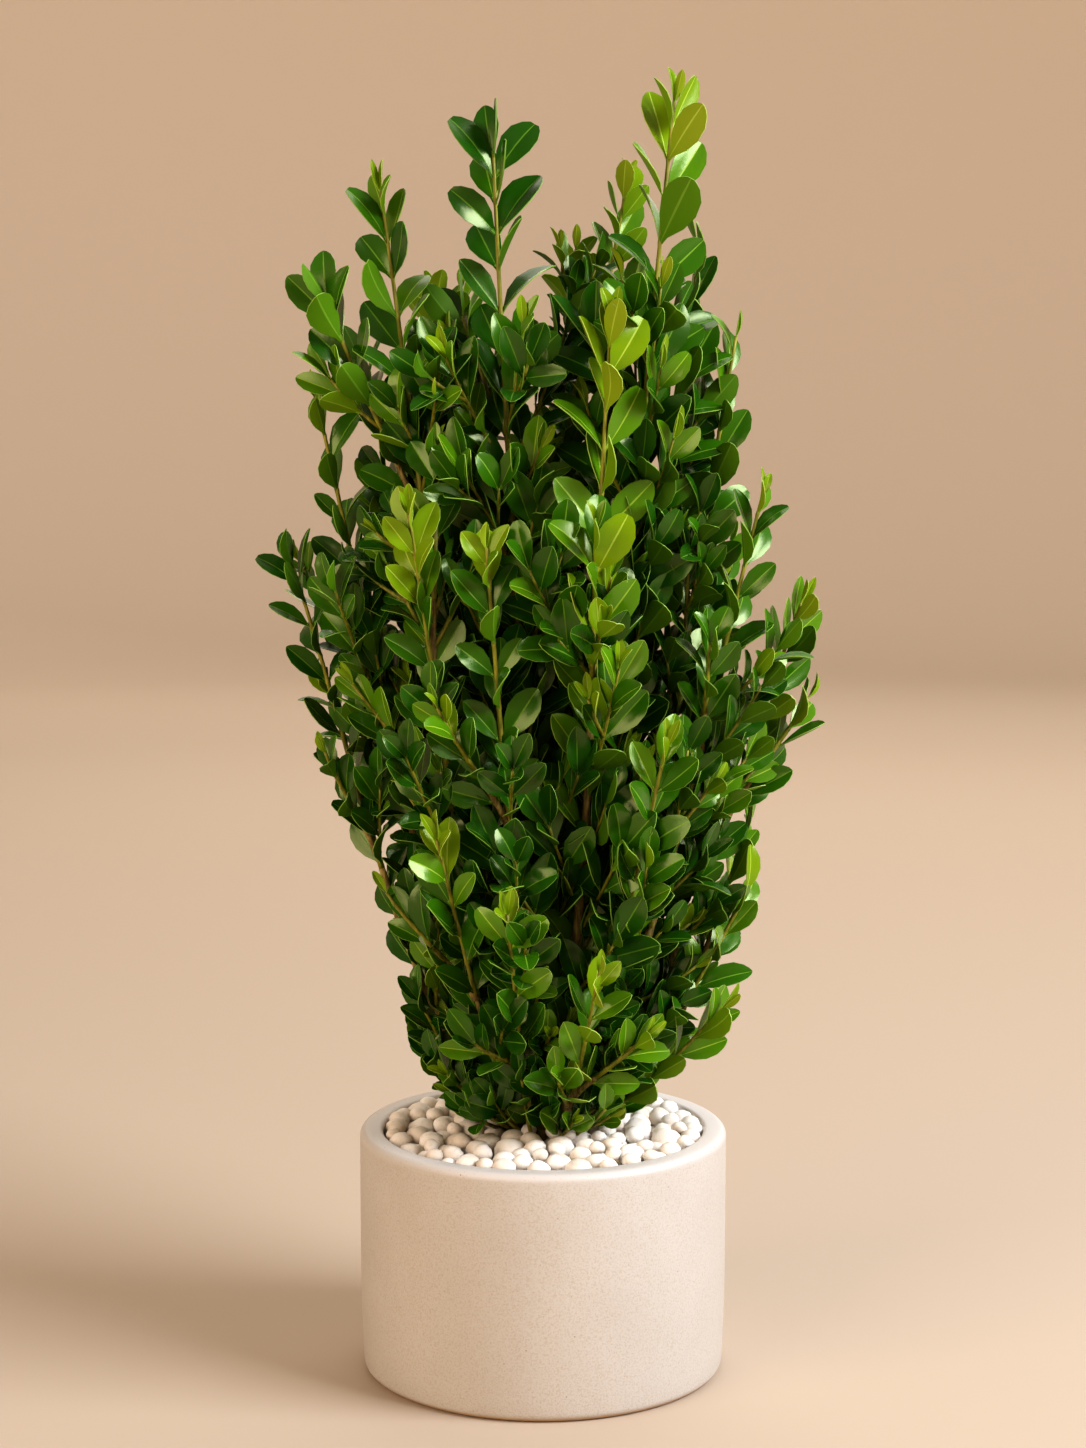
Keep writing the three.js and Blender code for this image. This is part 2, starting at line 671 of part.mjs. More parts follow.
// Leaves come from the tips down, a pair on each shoot in turn, so that the crown's outside fills first.
const growing = shoots.map((shoot) => ({ shoot, nodes: leafNodes(shoot) }));
const mostNodes = Math.max(...growing.map(({ nodes }) => nodes.length));
for (let k = 0; k < mostNodes; k += 1) {
  for (const { shoot, nodes } of growing) {
    const node = nodes[k];
    if (!node) continue;
    const forked = k >= SIDE_TWIG_FROM_PAIR && chance() < SIDE_TWIG_SHARE;
    if (forked && growSideTwig(shoot, node, k % 2)) growLeaf(shoot, node, 1 - (k % 2), null);
    else growPair(shoot, node);
  }
}
for (const leaf of leaves) solids[leaf.mass].push(solidOf(leafGeometry(leaf.points)));

addPart('pot', potGeometry(), 'pot');
addPart('potting_soil', soilGeometry(), 'soil');
addPart('pebble_layer', pebbleGeometry(), 'pebble');
addPart('stem_foot', footGeometry(), 'bark');
for (const [mass, pieces] of Object.entries(solids)) addPart(`foliage_${mass}`, fuse(pieces), 'foliage');

export default plant;
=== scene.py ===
# %% [markdown]
# # A boxwood shrub in a round stoneware pot
# The shrub is upright and full: many leafy stems rise from one root crown, which is hidden between
# round pebbles. Everything that repeats, such as a leaf, a pebble or a length of stem, is modelled
# once. Short loops then place it by the shrub's own rule of growth.
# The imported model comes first. It fixes where the pot, the foot and each stem are, and how far the
# crown may reach.

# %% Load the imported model
import math

import bpy
import numpy as np
from mathutils import Matrix, Vector


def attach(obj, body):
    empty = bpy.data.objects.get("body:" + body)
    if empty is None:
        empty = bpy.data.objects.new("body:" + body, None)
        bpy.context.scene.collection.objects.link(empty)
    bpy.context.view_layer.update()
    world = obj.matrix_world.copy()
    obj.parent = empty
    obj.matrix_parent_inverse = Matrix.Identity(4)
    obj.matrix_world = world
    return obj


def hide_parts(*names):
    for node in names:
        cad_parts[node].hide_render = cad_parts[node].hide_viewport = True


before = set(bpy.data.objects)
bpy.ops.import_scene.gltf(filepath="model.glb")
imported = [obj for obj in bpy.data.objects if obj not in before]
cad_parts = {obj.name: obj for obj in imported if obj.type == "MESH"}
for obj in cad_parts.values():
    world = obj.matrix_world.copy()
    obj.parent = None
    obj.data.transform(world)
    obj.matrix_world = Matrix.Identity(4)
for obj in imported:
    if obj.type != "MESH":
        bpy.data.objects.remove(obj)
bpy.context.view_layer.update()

MM = 0.001
HAIR = 0.01 * MM  # points closer than this are at the same place
BODY = "root"
foliage_nodes = sorted(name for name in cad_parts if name.startswith("foliage_"))
bough_nodes = sorted(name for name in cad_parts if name.startswith("bough_"))

# %% [markdown]
# ## A few helpers
# Blender's operators act on all that is selected, so each piece starts with nothing selected.
# Parts of a mesh are picked by a test on their place, and a finished piece keeps its place in its
# mesh, with its object at the origin.

# %% Helpers for modelling by operators


def deselect():
    """Nothing is selected or active."""
    if bpy.context.object and bpy.context.object.mode != "OBJECT":
        bpy.ops.object.mode_set(mode="OBJECT")
    bpy.ops.object.select_all(action="DESELECT")
    bpy.context.view_layer.objects.active = None


def take(piece):
    """Only this piece is selected and active."""
    deselect()
    piece.select_set(True)
    bpy.context.view_layer.objects.active = piece


def pick(kind, test):
    """In edit mode, selects the vertices or faces that pass the test on their centre and normal."""
    piece = bpy.context.object
    bpy.ops.mesh.select_mode(type=kind)
    bpy.ops.mesh.select_all(action="DESELECT")
    bpy.ops.object.mode_set(mode="OBJECT")
    for part in piece.data.vertices if kind == "VERT" else piece.data.polygons:
        part.select = bool(test(part.co if kind == "VERT" else part.center, part.normal))
    bpy.ops.object.mode_set(mode="EDIT")


def settle_place(piece, name):
    """The place, turn and size go into the mesh, and the piece gets its name."""
    take(piece)
    bpy.ops.object.transform_apply(location=True, rotation=True, scale=True)
    piece.name = piece.data.name = name
    return piece


def apply_all(piece):
    """Every modifier is applied in turn."""
    take(piece)
    for modifier in list(piece.modifiers):
        bpy.ops.object.modifier_apply(modifier=modifier.name)


def smooth(piece, degrees):
    """Faces are shaded smooth, apart from edges sharper than the angle."""
    take(piece)
    bpy.ops.object.shade_smooth_by_angle(angle=math.radians(degrees))


def chain(points):
    """A line of edges through points (x, z) in the plane y = 0, extruded from one vertex."""
    deselect()
    bpy.ops.mesh.primitive_plane_add(size=MM)
    bpy.ops.object.mode_set(mode="EDIT")
    bpy.ops.mesh.select_mode(type="VERT")
    bpy.ops.mesh.merge(type="CENTER")
    places = [Vector((0, 0, 0))] + [Vector((x, 0, z)) for x, z in points]
    bpy.ops.transform.translate(value=places[1])
    for last, following in zip(places[1:], places[2:]):
        bpy.ops.mesh.extrude_region_move(TRANSFORM_OT_translate={"value": following - last})
    return bpy.context.object


def turned(points, steps):
    """A solid of revolution about Z: the line of points is spun all the way round."""
    piece = chain(points)
    bpy.ops.mesh.select_all(action="SELECT")
    bpy.ops.mesh.spin(steps=steps, angle=math.tau, center=(0, 0, 0), axis=(0, 0, 1))
    bpy.ops.mesh.select_all(action="SELECT")
    bpy.ops.mesh.remove_doubles(threshold=HAIR)
    bpy.ops.mesh.normals_make_consistent(inside=False)
    bpy.ops.object.mode_set(mode="OBJECT")
    return piece


def off_axis(place):
    """How far a place is from the Z axis."""
    return math.hypot(place.x, place.y)


def heading(lean, turn):
    """The direction that leans from upright by one angle and is turned about Z by another."""
    return (math.sin(lean) * math.cos(turn), math.sin(lean) * math.sin(turn), math.cos(lean))


# %% Helpers for materials


def linear(hex_colour):
    """An sRGB colour such as "8fa63a" as linear RGBA."""
    parts = [int(hex_colour[k:k + 2], 16) / 255 for k in (0, 2, 4)]
    bright = [p / 12.92 if p <= 0.04045 else ((p + 0.055) / 1.055) ** 2.4 for p in parts]
    return (*bright, 1.0)


def add_node(material, kind, settings=None, inputs=None, links=None):
    """Adds a node. Settings are its own values, inputs its sockets' values, and links say
    which output of which node goes into which socket."""
    tree = material.node_tree
    node = tree.nodes.new(kind)
    for name, value in (settings or {}).items():
        setattr(node, name, value)
    for name, value in (inputs or {}).items():
        node.inputs[name].default_value = value
    for name, (source, output) in (links or {}).items():
        tree.links.new(source.outputs[output], node.inputs[name])
    return node


def new_material(name, **values):
    """A material with one Principled shader, and its numbers set on the shader's own sockets."""
    material = bpy.data.materials.new(name)
    material.use_nodes = True
    shader = material.node_tree.nodes["Principled BSDF"]
    for socket, value in values.items():
        shader.inputs[socket.replace("_", " ")].default_value = value
    return material, shader


def feed(material, shader, socket, node, output):
    material.node_tree.links.new(node.outputs[output], shader.inputs[socket])


def ramp_stops(node, stops):
    """Sets the stops of a colour ramp: (place, colour), in order."""
    elements = node.color_ramp.elements
    while len(elements) < len(stops):
        elements.new(1.0)
    for element, (place, colour) in zip(elements, stops):
        element.position = place
        element.color = colour


print("helpers ready")

# %% [markdown]
# ## Camera, floor and light
# The picture is taken from 1.13 m in front of the pot and 0.4 m up, looking slightly down, with a
# long lens that keeps the pot's sides nearly upright. The floor is a pale sweep that curves up all
# round, so there is no hard line behind the shrub from any side. One large soft light stands to the
# right, a weaker one fills in from the left, and one behind draws the outline of the leaves. They
# light the sweep less the further it goes. So its paper is paler out there, and four more soft
# lights wash its curve, one on each side.

# %% Camera
CAMERA_DISTANCE = 1.1258
CAMERA_HEIGHT = 0.3967
CAMERA_PITCH = math.radians(7.504)
LENS_MM = 75
SENSOR_MM = 36

deselect()
bpy.ops.object.camera_add(
    location=(0, -CAMERA_DISTANCE, CAMERA_HEIGHT), rotation=(math.pi / 2 - CAMERA_PITCH, 0, 0))
camera = bpy.context.object
camera.data.lens = LENS_MM
camera.data.sensor_width = SENSOR_MM
camera.data.clip_start = 0.01
camera.data.dof.use_dof = False
bpy.context.scene.camera = camera
print("camera at", tuple(round(v, 3) for v in camera.location))

# %% Floor
FLOOR_RADIUS = 2.3
SWEEP_RADIUS = 0.9
SWEEP_TOP = 2.6
SWEEP_STEPS = 12
SWEEP_SIDES = 96
PALER_FROM = 1.7
PALEST_AT = 2.4

sweep = [(0, 0), (0.5 * FLOOR_RADIUS, 0)]
for k in range(SWEEP_STEPS + 1):
    turn = math.pi / 2 * k / SWEEP_STEPS
    out, up = SWEEP_RADIUS * math.sin(turn), SWEEP_RADIUS * (1 - math.cos(turn))
    sweep.append((FLOOR_RADIUS + out, up))
sweep.append((FLOOR_RADIUS + SWEEP_RADIUS, SWEEP_TOP))
floor = settle_place(turned(sweep, SWEEP_SIDES), "studio_sweep")
smooth(floor, 60)

paper, paper_shader = new_material("matt_paper_sweep", Roughness=0.9)
place = add_node(paper, "ShaderNodeTexCoord")
away = add_node(paper, "ShaderNodeVectorMath", {"operation": "LENGTH"},
                links={"Vector": (place, "Object")})
paler = add_node(paper, "ShaderNodeMapRange", {"interpolation_type": "SMOOTHSTEP"},
                 {"From Min": PALER_FROM, "From Max": PALEST_AT}, {"Value": (away, "Value")})
paper_colour = add_node(paper, "ShaderNodeMix", {"data_type": "RGBA"},
                        {"A": linear("b7a591"), "B": linear("cfbda8")},
                        {"Factor": (paler, "Result")})
feed(paper, paper_shader, "Base Color", paper_colour, "Result")
floor.data.materials.append(paper)
print("floor radius", FLOOR_RADIUS)

# %% Lights
LIGHT_TARGET = (0, 0, 0.27)
LIGHTS = [  # place, size, power in watts and colour
    ("key_right", (1.26, -0.59, 1.15), 0.95, 46.5, "edf4ff"),
    ("fill_left", (-1.2, -1.25, 0.8), 1.2, 19, "ffebd6"),
    ("rim_back", (0.3, 1.4, 1.3), 2.0, 15, "fffaf4"),
]
WASHES = [("back", 0, 1, 17), ("left", -1, 0, 10), ("front", 0, -1, 10), ("right", 1, 0, 10)]
WASH_OUT = 1.3
WASH_HEIGHT = 2.3
WASH_SIZE = 1.4
ROOM_LIGHT = 0.21


def soft_light(name, place, target, size, power, colour):
    """A square area light that faces its target."""
    deselect()
    bpy.ops.object.light_add(type="AREA", location=place)
    light = bpy.context.object
    light.name = name
    light.data.size = size
    light.data.energy = power
    light.data.color = linear(colour)[:3]
    light.rotation_euler = (Vector(target) - Vector(place)).to_track_quat("-Z", "Y").to_euler()


for name, place, size, power, colour in LIGHTS:
    soft_light(name, place, LIGHT_TARGET, size, power, colour)
wall = FLOOR_RADIUS + SWEEP_RADIUS
for side, x, y, power in WASHES:
    soft_light(f"sweep_wash_{side}", (WASH_OUT * x, WASH_OUT * y, WASH_HEIGHT),
               (wall * x, wall * y, SWEEP_RADIUS), WASH_SIZE, power, "fff6ec")

world = bpy.data.worlds.new("soft_room")
bpy.context.scene.world = world
world.use_nodes = True
background = world.node_tree.nodes["Background"]
background.inputs["Color"].default_value = linear("f8e8d6")
background.inputs["Strength"].default_value = ROOM_LIGHT
bpy.context.scene.view_settings.view_transform = "Standard"
bpy.context.scene.view_settings.look = "Medium High Contrast"

# %% [markdown]
# ## The pot
# The pot is a slip-cast stoneware cylinder. Such a pot is cast in a plaster mould, fettled, and its
# rim is sponged round, so the rim is smooth and the wall has an even thickness. Here a cylinder
# gets its wall by an inset and an extrusion of its top face. A few cuts below let the side draw in
# towards the foot, and bevels round the rim and the foot, as the sponge does.

# %% Pot
POT_RADIUS = 70 * MM
POT_HEIGHT = 93.5 * MM
POT_WALL = 8.8 * MM
POT_FLOOR = 9 * MM
POT_DRAFT = 1.2 * MM
POT_FOOT_ROUND = 3.4 * MM
POT_FLOOR_ROUND = 3 * MM
STRAIGHT_FROM = 45 * MM
RIM_OUTER_ROUND = 2.9 * MM
RIM_INNER_ROUND = 1.7 * MM
POT_SIDES = 128
DRAFT_CUTS = 5
POT_INNER_RADIUS = POT_RADIUS - POT_WALL

deselect()
bpy.ops.mesh.primitive_cylinder_add(
    vertices=POT_SIDES, radius=POT_RADIUS, depth=POT_HEIGHT, location=(0, 0, POT_HEIGHT / 2))
pot = settle_place(bpy.context.object, "pot_stoneware")
bpy.ops.object.mode_set(mode="EDIT")
pick("FACE", lambda centre, normal: normal.z > 0.9)
bpy.ops.mesh.inset(thickness=POT_WALL)
bpy.ops.mesh.extrude_region_move(TRANSFORM_OT_translate={"value": (0, 0, POT_FLOOR - POT_HEIGHT)})

for k in range(DRAFT_CUTS):
    height = STRAIGHT_FROM * (k + 1) / DRAFT_CUTS
    pick("FACE", lambda centre, normal: abs(normal.z) < 0.1 and off_axis(centre) > 0.99 * POT_RADIUS)
    bpy.ops.mesh.bisect(plane_co=(0, 0, height), plane_no=(0, 0, 1))
for k in range(DRAFT_CUTS):
    height = STRAIGHT_FROM * k / DRAFT_CUTS
    share = 1 - POT_DRAFT / POT_RADIUS * (1 - height / STRAIGHT_FROM) ** 2
    pick("VERT", lambda place, normal: abs(place.z - height) < HAIR
         and off_axis(place) > 0.9 * POT_RADIUS)
    bpy.ops.transform.resize(value=(share, share, 1), center_override=(0, 0, height))


def round_edge(radius, height, width, segments):
    """Bevels the ring of edges at a radius and a height."""
    pick("VERT", lambda place, normal: abs(place.z - height) < HAIR
         and abs(off_axis(place) - radius) < 10 * HAIR)
    bpy.ops.mesh.select_mode(type="EDGE")
    bpy.ops.mesh.bevel(offset=width, segments=segments, affect="EDGES")


round_edge(POT_RADIUS, POT_HEIGHT, RIM_OUTER_ROUND, 6)
round_edge(POT_INNER_RADIUS, POT_HEIGHT, RIM_INNER_ROUND, 4)
round_edge(POT_INNER_RADIUS, POT_FLOOR, POT_FLOOR_ROUND, 3)
round_edge(POT_RADIUS - POT_DRAFT, 0, POT_FOOT_ROUND, 6)
bpy.ops.object.mode_set(mode="OBJECT")
smooth(pot, 40)
print("pot faces", len(pot.data.polygons))

# %% [markdown]
# ## The pot's finish
# It is fine stoneware with iron specks under a thin coat of pale slip, fired without a glaze. The
# slip gives a soft broad sheen. Its rim is painted a little paler, as painted light where the top
# catches more light. The clay's grain shows through it, drawn a little coarser than it is so that it
# shows, with the specks as tiny brown points, a few to the square centimetre. At the foot a tan band
# is painted, a painted reflection of the warm floor.

# %% Speckled stoneware with a coat of slip
SPECK_SPACING = 7.5 * MM
SPECK_RADIUS = 0.34 * MM
FINE_SPECK_SPACING = 1.5 * MM
FINE_SPECK_RADIUS = 0.24 * MM
SLIP_GRAIN = 0.65 * MM
SLIP_CLOUDING = 30 * MM
# Depths below the top where the rim's painted light starts and where it is full.
RIM_PAINTED_LIGHT = (4 * MM, 1.5 * MM)
# Heights where the foot's painted reflection of the floor fades out and where it is full.
FOOT_PAINTED_REFLECTION = (2.2 * MM, 1.2 * MM)

slip, slip_shader = new_material(
    "slip_coated_stoneware", Roughness=0.5, IOR=1.5, Coat_Weight=0.12, Coat_Roughness=0.35)
place = add_node(slip, "ShaderNodeTexCoord")
height = add_node(slip, "ShaderNodeSeparateXYZ", links={"Vector": (place, "Object")})
clouding = add_node(slip, "ShaderNodeTexNoise", inputs={"Scale": 1 / SLIP_CLOUDING, "Detail": 3},
                    links={"Vector": (place, "Object")})
body_colour = add_node(slip, "ShaderNodeMix", {"data_type": "RGBA"},
                       {"A": linear("b8b0a6"), "B": linear("c5beb6")},
                       {"Factor": (clouding, "Fac")})
grain = add_node(slip, "ShaderNodeTexNoise", inputs={"Scale": 1 / SLIP_GRAIN, "Detail": 3},
                 links={"Vector": (place, "Object")})
grain_share = add_node(slip, "ShaderNodeMapRange",
                       inputs={"From Min": 0.47, "From Max": 0.68, "To Max": 0.5},
                       links={"Value": (grain, "Fac")})
grained = add_node(slip, "ShaderNodeMix", {"data_type": "RGBA"}, {"B": linear("a8977f")},
                   {"A": (body_colour, "Result"), "Factor": (grain_share, "Result")})
# Painted light: the rim's top is painted paler, where it catches more light.
rim_light_share = add_node(slip, "ShaderNodeMapRange",
                     inputs={"From Min": POT_HEIGHT - RIM_PAINTED_LIGHT[0],
                             "From Max": POT_HEIGHT - RIM_PAINTED_LIGHT[1]},
                     links={"Value": (height, "Z")})
rim_painted_light = add_node(slip, "ShaderNodeMix", {"data_type": "RGBA"}, {"B": linear("c5beb7")},
                      {"A": (grained, "Result"), "Factor": (rim_light_share, "Result")})
# Painted reflection: a tan band at the foot stands for the warm floor's reflected light.
foot_reflection_share = add_node(slip, "ShaderNodeMapRange",
                      inputs={"From Min": FOOT_PAINTED_REFLECTION[0], "From Max": FOOT_PAINTED_REFLECTION[1]},
                      links={"Value": (height, "Z")})
foot_painted_reflection = add_node(slip, "ShaderNodeMix", {"data_type": "RGBA"}, {"B": linear("b89a78")},
                       {"A": (rim_painted_light, "Result"), "Factor": (foot_reflection_share, "Result")})


def specks(material, place, under, spacing, radius, colour, strength):
    """Brown points with soft edges on what is under them, one to a cell of the spacing."""
    cells = add_node(material, "ShaderNodeTexVoronoi", inputs={"Scale": 1 / spacing},
                     links={"Vector": (place, "Object")})
    hit = add_node(material, "ShaderNodeMapRange",
                   inputs={"From Min": radius / spacing, "From Max": 0.55 * radius / spacing,
                           "To Max": strength},
                   links={"Value": (cells, "Distance")})
    return add_node(material, "ShaderNodeMix", {"data_type": "RGBA"}, {"B": linear(colour)},
                    {"A": (under, "Result"), "Factor": (hit, "Result")})


fine = specks(slip, place, foot_painted_reflection, FINE_SPECK_SPACING, FINE_SPECK_RADIUS, "a3835f", 0.5)
coarse = specks(slip, place, fine, SPECK_SPACING, SPECK_RADIUS, "7d5a3a", 0.75)
feed(slip, slip_shader, "Base Color", coarse, "Result")
slip_relief = add_node(slip, "ShaderNodeBump", inputs={"Strength": 0.35, "Distance": 0.2 * MM},
                       links={"Height": (grain, "Fac")})
feed(slip, slip_shader, "Normal", slip_relief, "Normal")
pot.data.materials.append(slip)
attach(pot, BODY)
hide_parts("pot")
print("pot finished")

# %% [markdown]
# ## The soil
# Under the pebbles is dark potting mix. It shows only as shade in the gaps, so it is a plug with a
# crumbly top: rings are inset into the top face, and its points are moved at random by a little.

# %% Soil
SOIL_TOP = 81 * MM
SOIL_RADIUS = POT_INNER_RADIUS - 0.3 * MM
SOIL_BOTTOM = POT_FLOOR + 0.3 * MM
SOIL_SIDES = 64
SOIL_RINGS = 12
SOIL_UNEVEN = 0.9 * MM
CRUMB = 2.5 * MM

deselect()
bpy.ops.mesh.primitive_cylinder_add(
    vertices=SOIL_SIDES, radius=SOIL_RADIUS, depth=SOIL_TOP - SOIL_BOTTOM,
    location=(0, 0, (SOIL_TOP + SOIL_BOTTOM) / 2))
soil = settle_place(bpy.context.object, "potting_mix")
bpy.ops.object.mode_set(mode="EDIT")
pick("FACE", lambda centre, normal: normal.z > 0.9)
for _ in range(SOIL_RINGS):
    bpy.ops.mesh.inset(thickness=SOIL_RADIUS / (SOIL_RINGS + 1))
pick("VERT", lambda place, normal: place.z > SOIL_TOP - MM and off_axis(place) < 0.98 * SOIL_RADIUS)
bpy.ops.transform.vertex_random(offset=SOIL_UNEVEN, uniform=1.0, seed=3)
bpy.ops.object.mode_set(mode="OBJECT")

mix, mix_shader = new_material("potting_mix_peat", Roughness=0.95, Specular_IOR_Level=0.2)
place = add_node(mix, "ShaderNodeTexCoord")
crumbs = add_node(mix, "ShaderNodeTexNoise", inputs={"Scale": 1 / CRUMB, "Detail": 5},
                  links={"Vector": (place, "Object")})
mix_ramp = add_node(mix, "ShaderNodeValToRGB", links={"Fac": (crumbs, "Fac")})
ramp_stops(mix_ramp, [(0.35, linear("20160e")), (0.7, linear("4a3626"))])
feed(mix, mix_shader, "Base Color", mix_ramp, "Color")
soil.data.materials.append(mix)
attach(soil, BODY)
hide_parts("potting_soil")
print("soil faces", len(soil.data.polygons))

# %% [markdown]
# ## Shapes that repeat
# A leaf, a pebble or a length of stem is modelled once by operators and then read into arrays. A
# joined mesh is built from many moved copies of those arrays, which is quick even for thousands of
# leaves, and leaves one plain mesh.

# %% Arrays of a shape, and a joined mesh of many


def shape_of(piece):
    """The points and faces of a piece as arrays. The piece itself is removed."""
    mesh = piece.data
    points = np.empty(len(mesh.vertices) * 3)
    mesh.vertices.foreach_get("co", points)
    corners = np.empty(len(mesh.loops), np.int64)
    mesh.loops.foreach_get("vertex_index", corners)
    sizes = np.empty(len(mesh.polygons), np.int64)
    mesh.polygons.foreach_get("loop_total", sizes)
    slots = np.empty(len(mesh.polygons), np.int64)
    mesh.polygons.foreach_get("material_index", slots)
    bpy.data.objects.remove(piece, do_unlink=True)
    return {"points": points.reshape(-1, 3), "corners": corners, "sizes": sizes, "slots": slots}


def joined(name, copies, materials, angle):
    """One object from copies, each a shape with its own moved points. It is shaded smooth up to
    the angle."""
    shapes = [shape for shape, _ in copies]
    points = np.concatenate([moved for _, moved in copies])
    starts = np.cumsum([0] + [len(moved) for _, moved in copies[:-1]])
    corners = np.concatenate([shape["corners"] + start for shape, start in zip(shapes, starts)])
    sizes = np.concatenate([shape["sizes"] for shape in shapes])
    slots = np.concatenate([shape["slots"] for shape in shapes])
    mesh = bpy.data.meshes.new(name)
    mesh.vertices.add(len(points))
    mesh.vertices.foreach_set("co", points.ravel())
    mesh.loops.add(len(corners))
    mesh.loops.foreach_set("vertex_index", corners)
    mesh.polygons.add(len(sizes))
    mesh.polygons.foreach_set("loop_start", np.cumsum(sizes) - sizes)
    mesh.polygons.foreach_set("loop_total", sizes)
    mesh.polygons.foreach_set("material_index", slots)
    mesh.update(calc_edges=True)
    for material in materials:
        mesh.materials.append(material)
    piece = bpy.data.objects.new(name, mesh)
    bpy.context.scene.collection.objects.link(piece)
    smooth(piece, angle)
    print(name, "copies", len(copies), "triangles", int(np.sum(sizes - 2)))
    return piece


# %% [markdown]
# ## The pebbles
# They are river pebbles of pale limestone, tumbled round, 6 to 12 mm across. Each starts as a cube
# that is cut up, pushed out to a ball and made uneven, which leaves no poles and only 54 faces.
# They are dropped one by one. Each takes the lowest of some random spots, as poured pebbles do, and
# many of them roll right up to the pot's wall.

# %% Pebble shapes
PEBBLE_KINDS = 8
PEBBLE_UNEVEN = 0.1


def pebble_shape(seed):
    """A ball of radius 1 from a cube, made uneven by the seed."""
    deselect()
    bpy.ops.mesh.primitive_cube_add(size=2)
    bpy.ops.object.mode_set(mode="EDIT")
    bpy.ops.mesh.subdivide(number_cuts=2)
    bpy.ops.transform.tosphere(value=1.0)
    bpy.ops.transform.vertex_random(offset=PEBBLE_UNEVEN, uniform=0.0, normal=0.0, seed=seed)
    bpy.ops.mesh.vertices_smooth(factor=0.5, repeat=1)
    bpy.ops.object.mode_set(mode="OBJECT")
    shape = shape_of(bpy.context.object)
    shape["points"] /= np.mean(np.linalg.norm(shape["points"], axis=1))
    return shape


pebble_shapes = [pebble_shape(seed) for seed in range(PEBBLE_KINDS)]
print("pebble faces", len(pebble_shapes[0]["sizes"]))

# %% Where a pebble comes to rest
PEBBLE_MOST = 420
PEBBLE_RADII = (2.9 * MM, 6.0 * MM)
PEBBLE_USUAL = (4.9 * MM, 0.6 * MM)
PEBBLE_SMALL = (1.0, 1.35)
SMALL_AFTER = 30
FULL_AFTER = 110
PEBBLE_FLATNESS = 0.86
PEBBLE_LENGTHS = (0.95, 1.12)
PEBBLE_WIDTHS = (0.92, 1.05)
PEBBLE_TILT = 0.2
PEBBLE_SPOTS = 32
PEBBLE_OVERLAP = 0.97
PEBBLE_WALL_GAP = 0.2 * MM
BED_AT_WALL = 95.6 * MM
BED_AT_FOOT = 99.5 * MM
FOOT_CLEAR = 15.5 * MM
WALL_SHARE = 0.4

chance = np.random.default_rng(5)


def bed_limit(radius):
    """The highest that a pebble's top may be, at a distance from the pot's axis."""
    share = np.clip((radius - FOOT_CLEAR) / (POT_INNER_RADIUS - FOOT_CLEAR), 0, 1)
    return BED_AT_FOOT + (BED_AT_WALL - BED_AT_FOOT) * share


def rest_height(x, y, radius, placed):
    """The height of a pebble's centre where it comes to rest on the soil or on other pebbles."""
    lowest = SOIL_TOP + radius * PEBBLE_FLATNESS
    if not len(placed):
        return lowest
    reach = (placed[:, 3] + radius) * PEBBLE_OVERLAP
    away = np.hypot(placed[:, 0] - x, placed[:, 1] - y)
    lift = np.sqrt(np.maximum(reach ** 2 - away ** 2, 0)) * PEBBLE_FLATNESS
    return max(lowest, np.max(np.where(away < reach, placed[:, 2] + lift, 0)))


print("bed slopes from", round(float(bed_limit(0)), 4), "to", round(float(bed_limit(POT_RADIUS)), 4))

# %% Drop the pebbles
# Once many usual pebbles in a row have found no room, small ones fill the gaps that are left.
placed = np.empty((0, 4))
refused = 0
while len(placed) < PEBBLE_MOST and refused < FULL_AFTER:
    radius = np.clip(chance.normal(*PEBBLE_USUAL), *PEBBLE_RADII)
    if refused > SMALL_AFTER:
        radius = PEBBLE_RADII[0] * chance.uniform(*PEBBLE_SMALL)
    inner = FOOT_CLEAR + radius
    outer = POT_INNER_RADIUS - radius - PEBBLE_WALL_GAP
    away = np.sqrt(chance.uniform(inner ** 2, outer ** 2, PEBBLE_SPOTS))
    if chance.random() < WALL_SHARE:
        away[:] = outer
    turn = chance.uniform(0, math.tau, PEBBLE_SPOTS)
    spots = np.column_stack([away * np.cos(turn), away * np.sin(turn)])
    heights = np.array([rest_height(x, y, radius, placed) for x, y in spots])
    over = heights + radius * PEBBLE_FLATNESS - bed_limit(away)
    best = int(np.argmin(over))
    if over[best] > 0:
        refused += 1
        continue
    refused = 0
    placed = np.vstack([placed, [*spots[best], heights[best], radius]])
print("pebbles", len(placed), "top", round(float(np.max(placed[:, 2] + placed[:, 3])), 4))

# %% Turn, flatten and place a copy for each
pebble_copies = []
for x, y, z, radius in placed:
    shape = pebble_shapes[chance.integers(PEBBLE_KINDS)]
    spin = Matrix.Rotation(chance.uniform(0, math.tau), 3, Vector(chance.normal(size=3)))
    tilt = Matrix.Rotation(chance.normal(0, PEBBLE_TILT), 3, "X")
    tilt = tilt @ Matrix.Rotation(chance.normal(0, PEBBLE_TILT), 3, "Y")
    stretch = np.array([chance.uniform(*PEBBLE_LENGTHS), chance.uniform(*PEBBLE_WIDTHS),
                        PEBBLE_FLATNESS])
    points = shape["points"] @ np.array(spin).T * stretch @ np.array(tilt).T
    pebble_copies.append((shape, points * radius + np.array([x, y, z])))
print("pebble copies", len(pebble_copies))

# %% [markdown]
# ## The pebbles' finish
# Tumbled limestone is matt and warm white, with slow changes of tone from stone to stone and faint
# marks. The tone comes from a noise that is coarser than a pebble, so that neighbours differ.

# %% Tumbled limestone
STONE_TONE = 11 * MM
STONE_MARK = 0.9 * MM

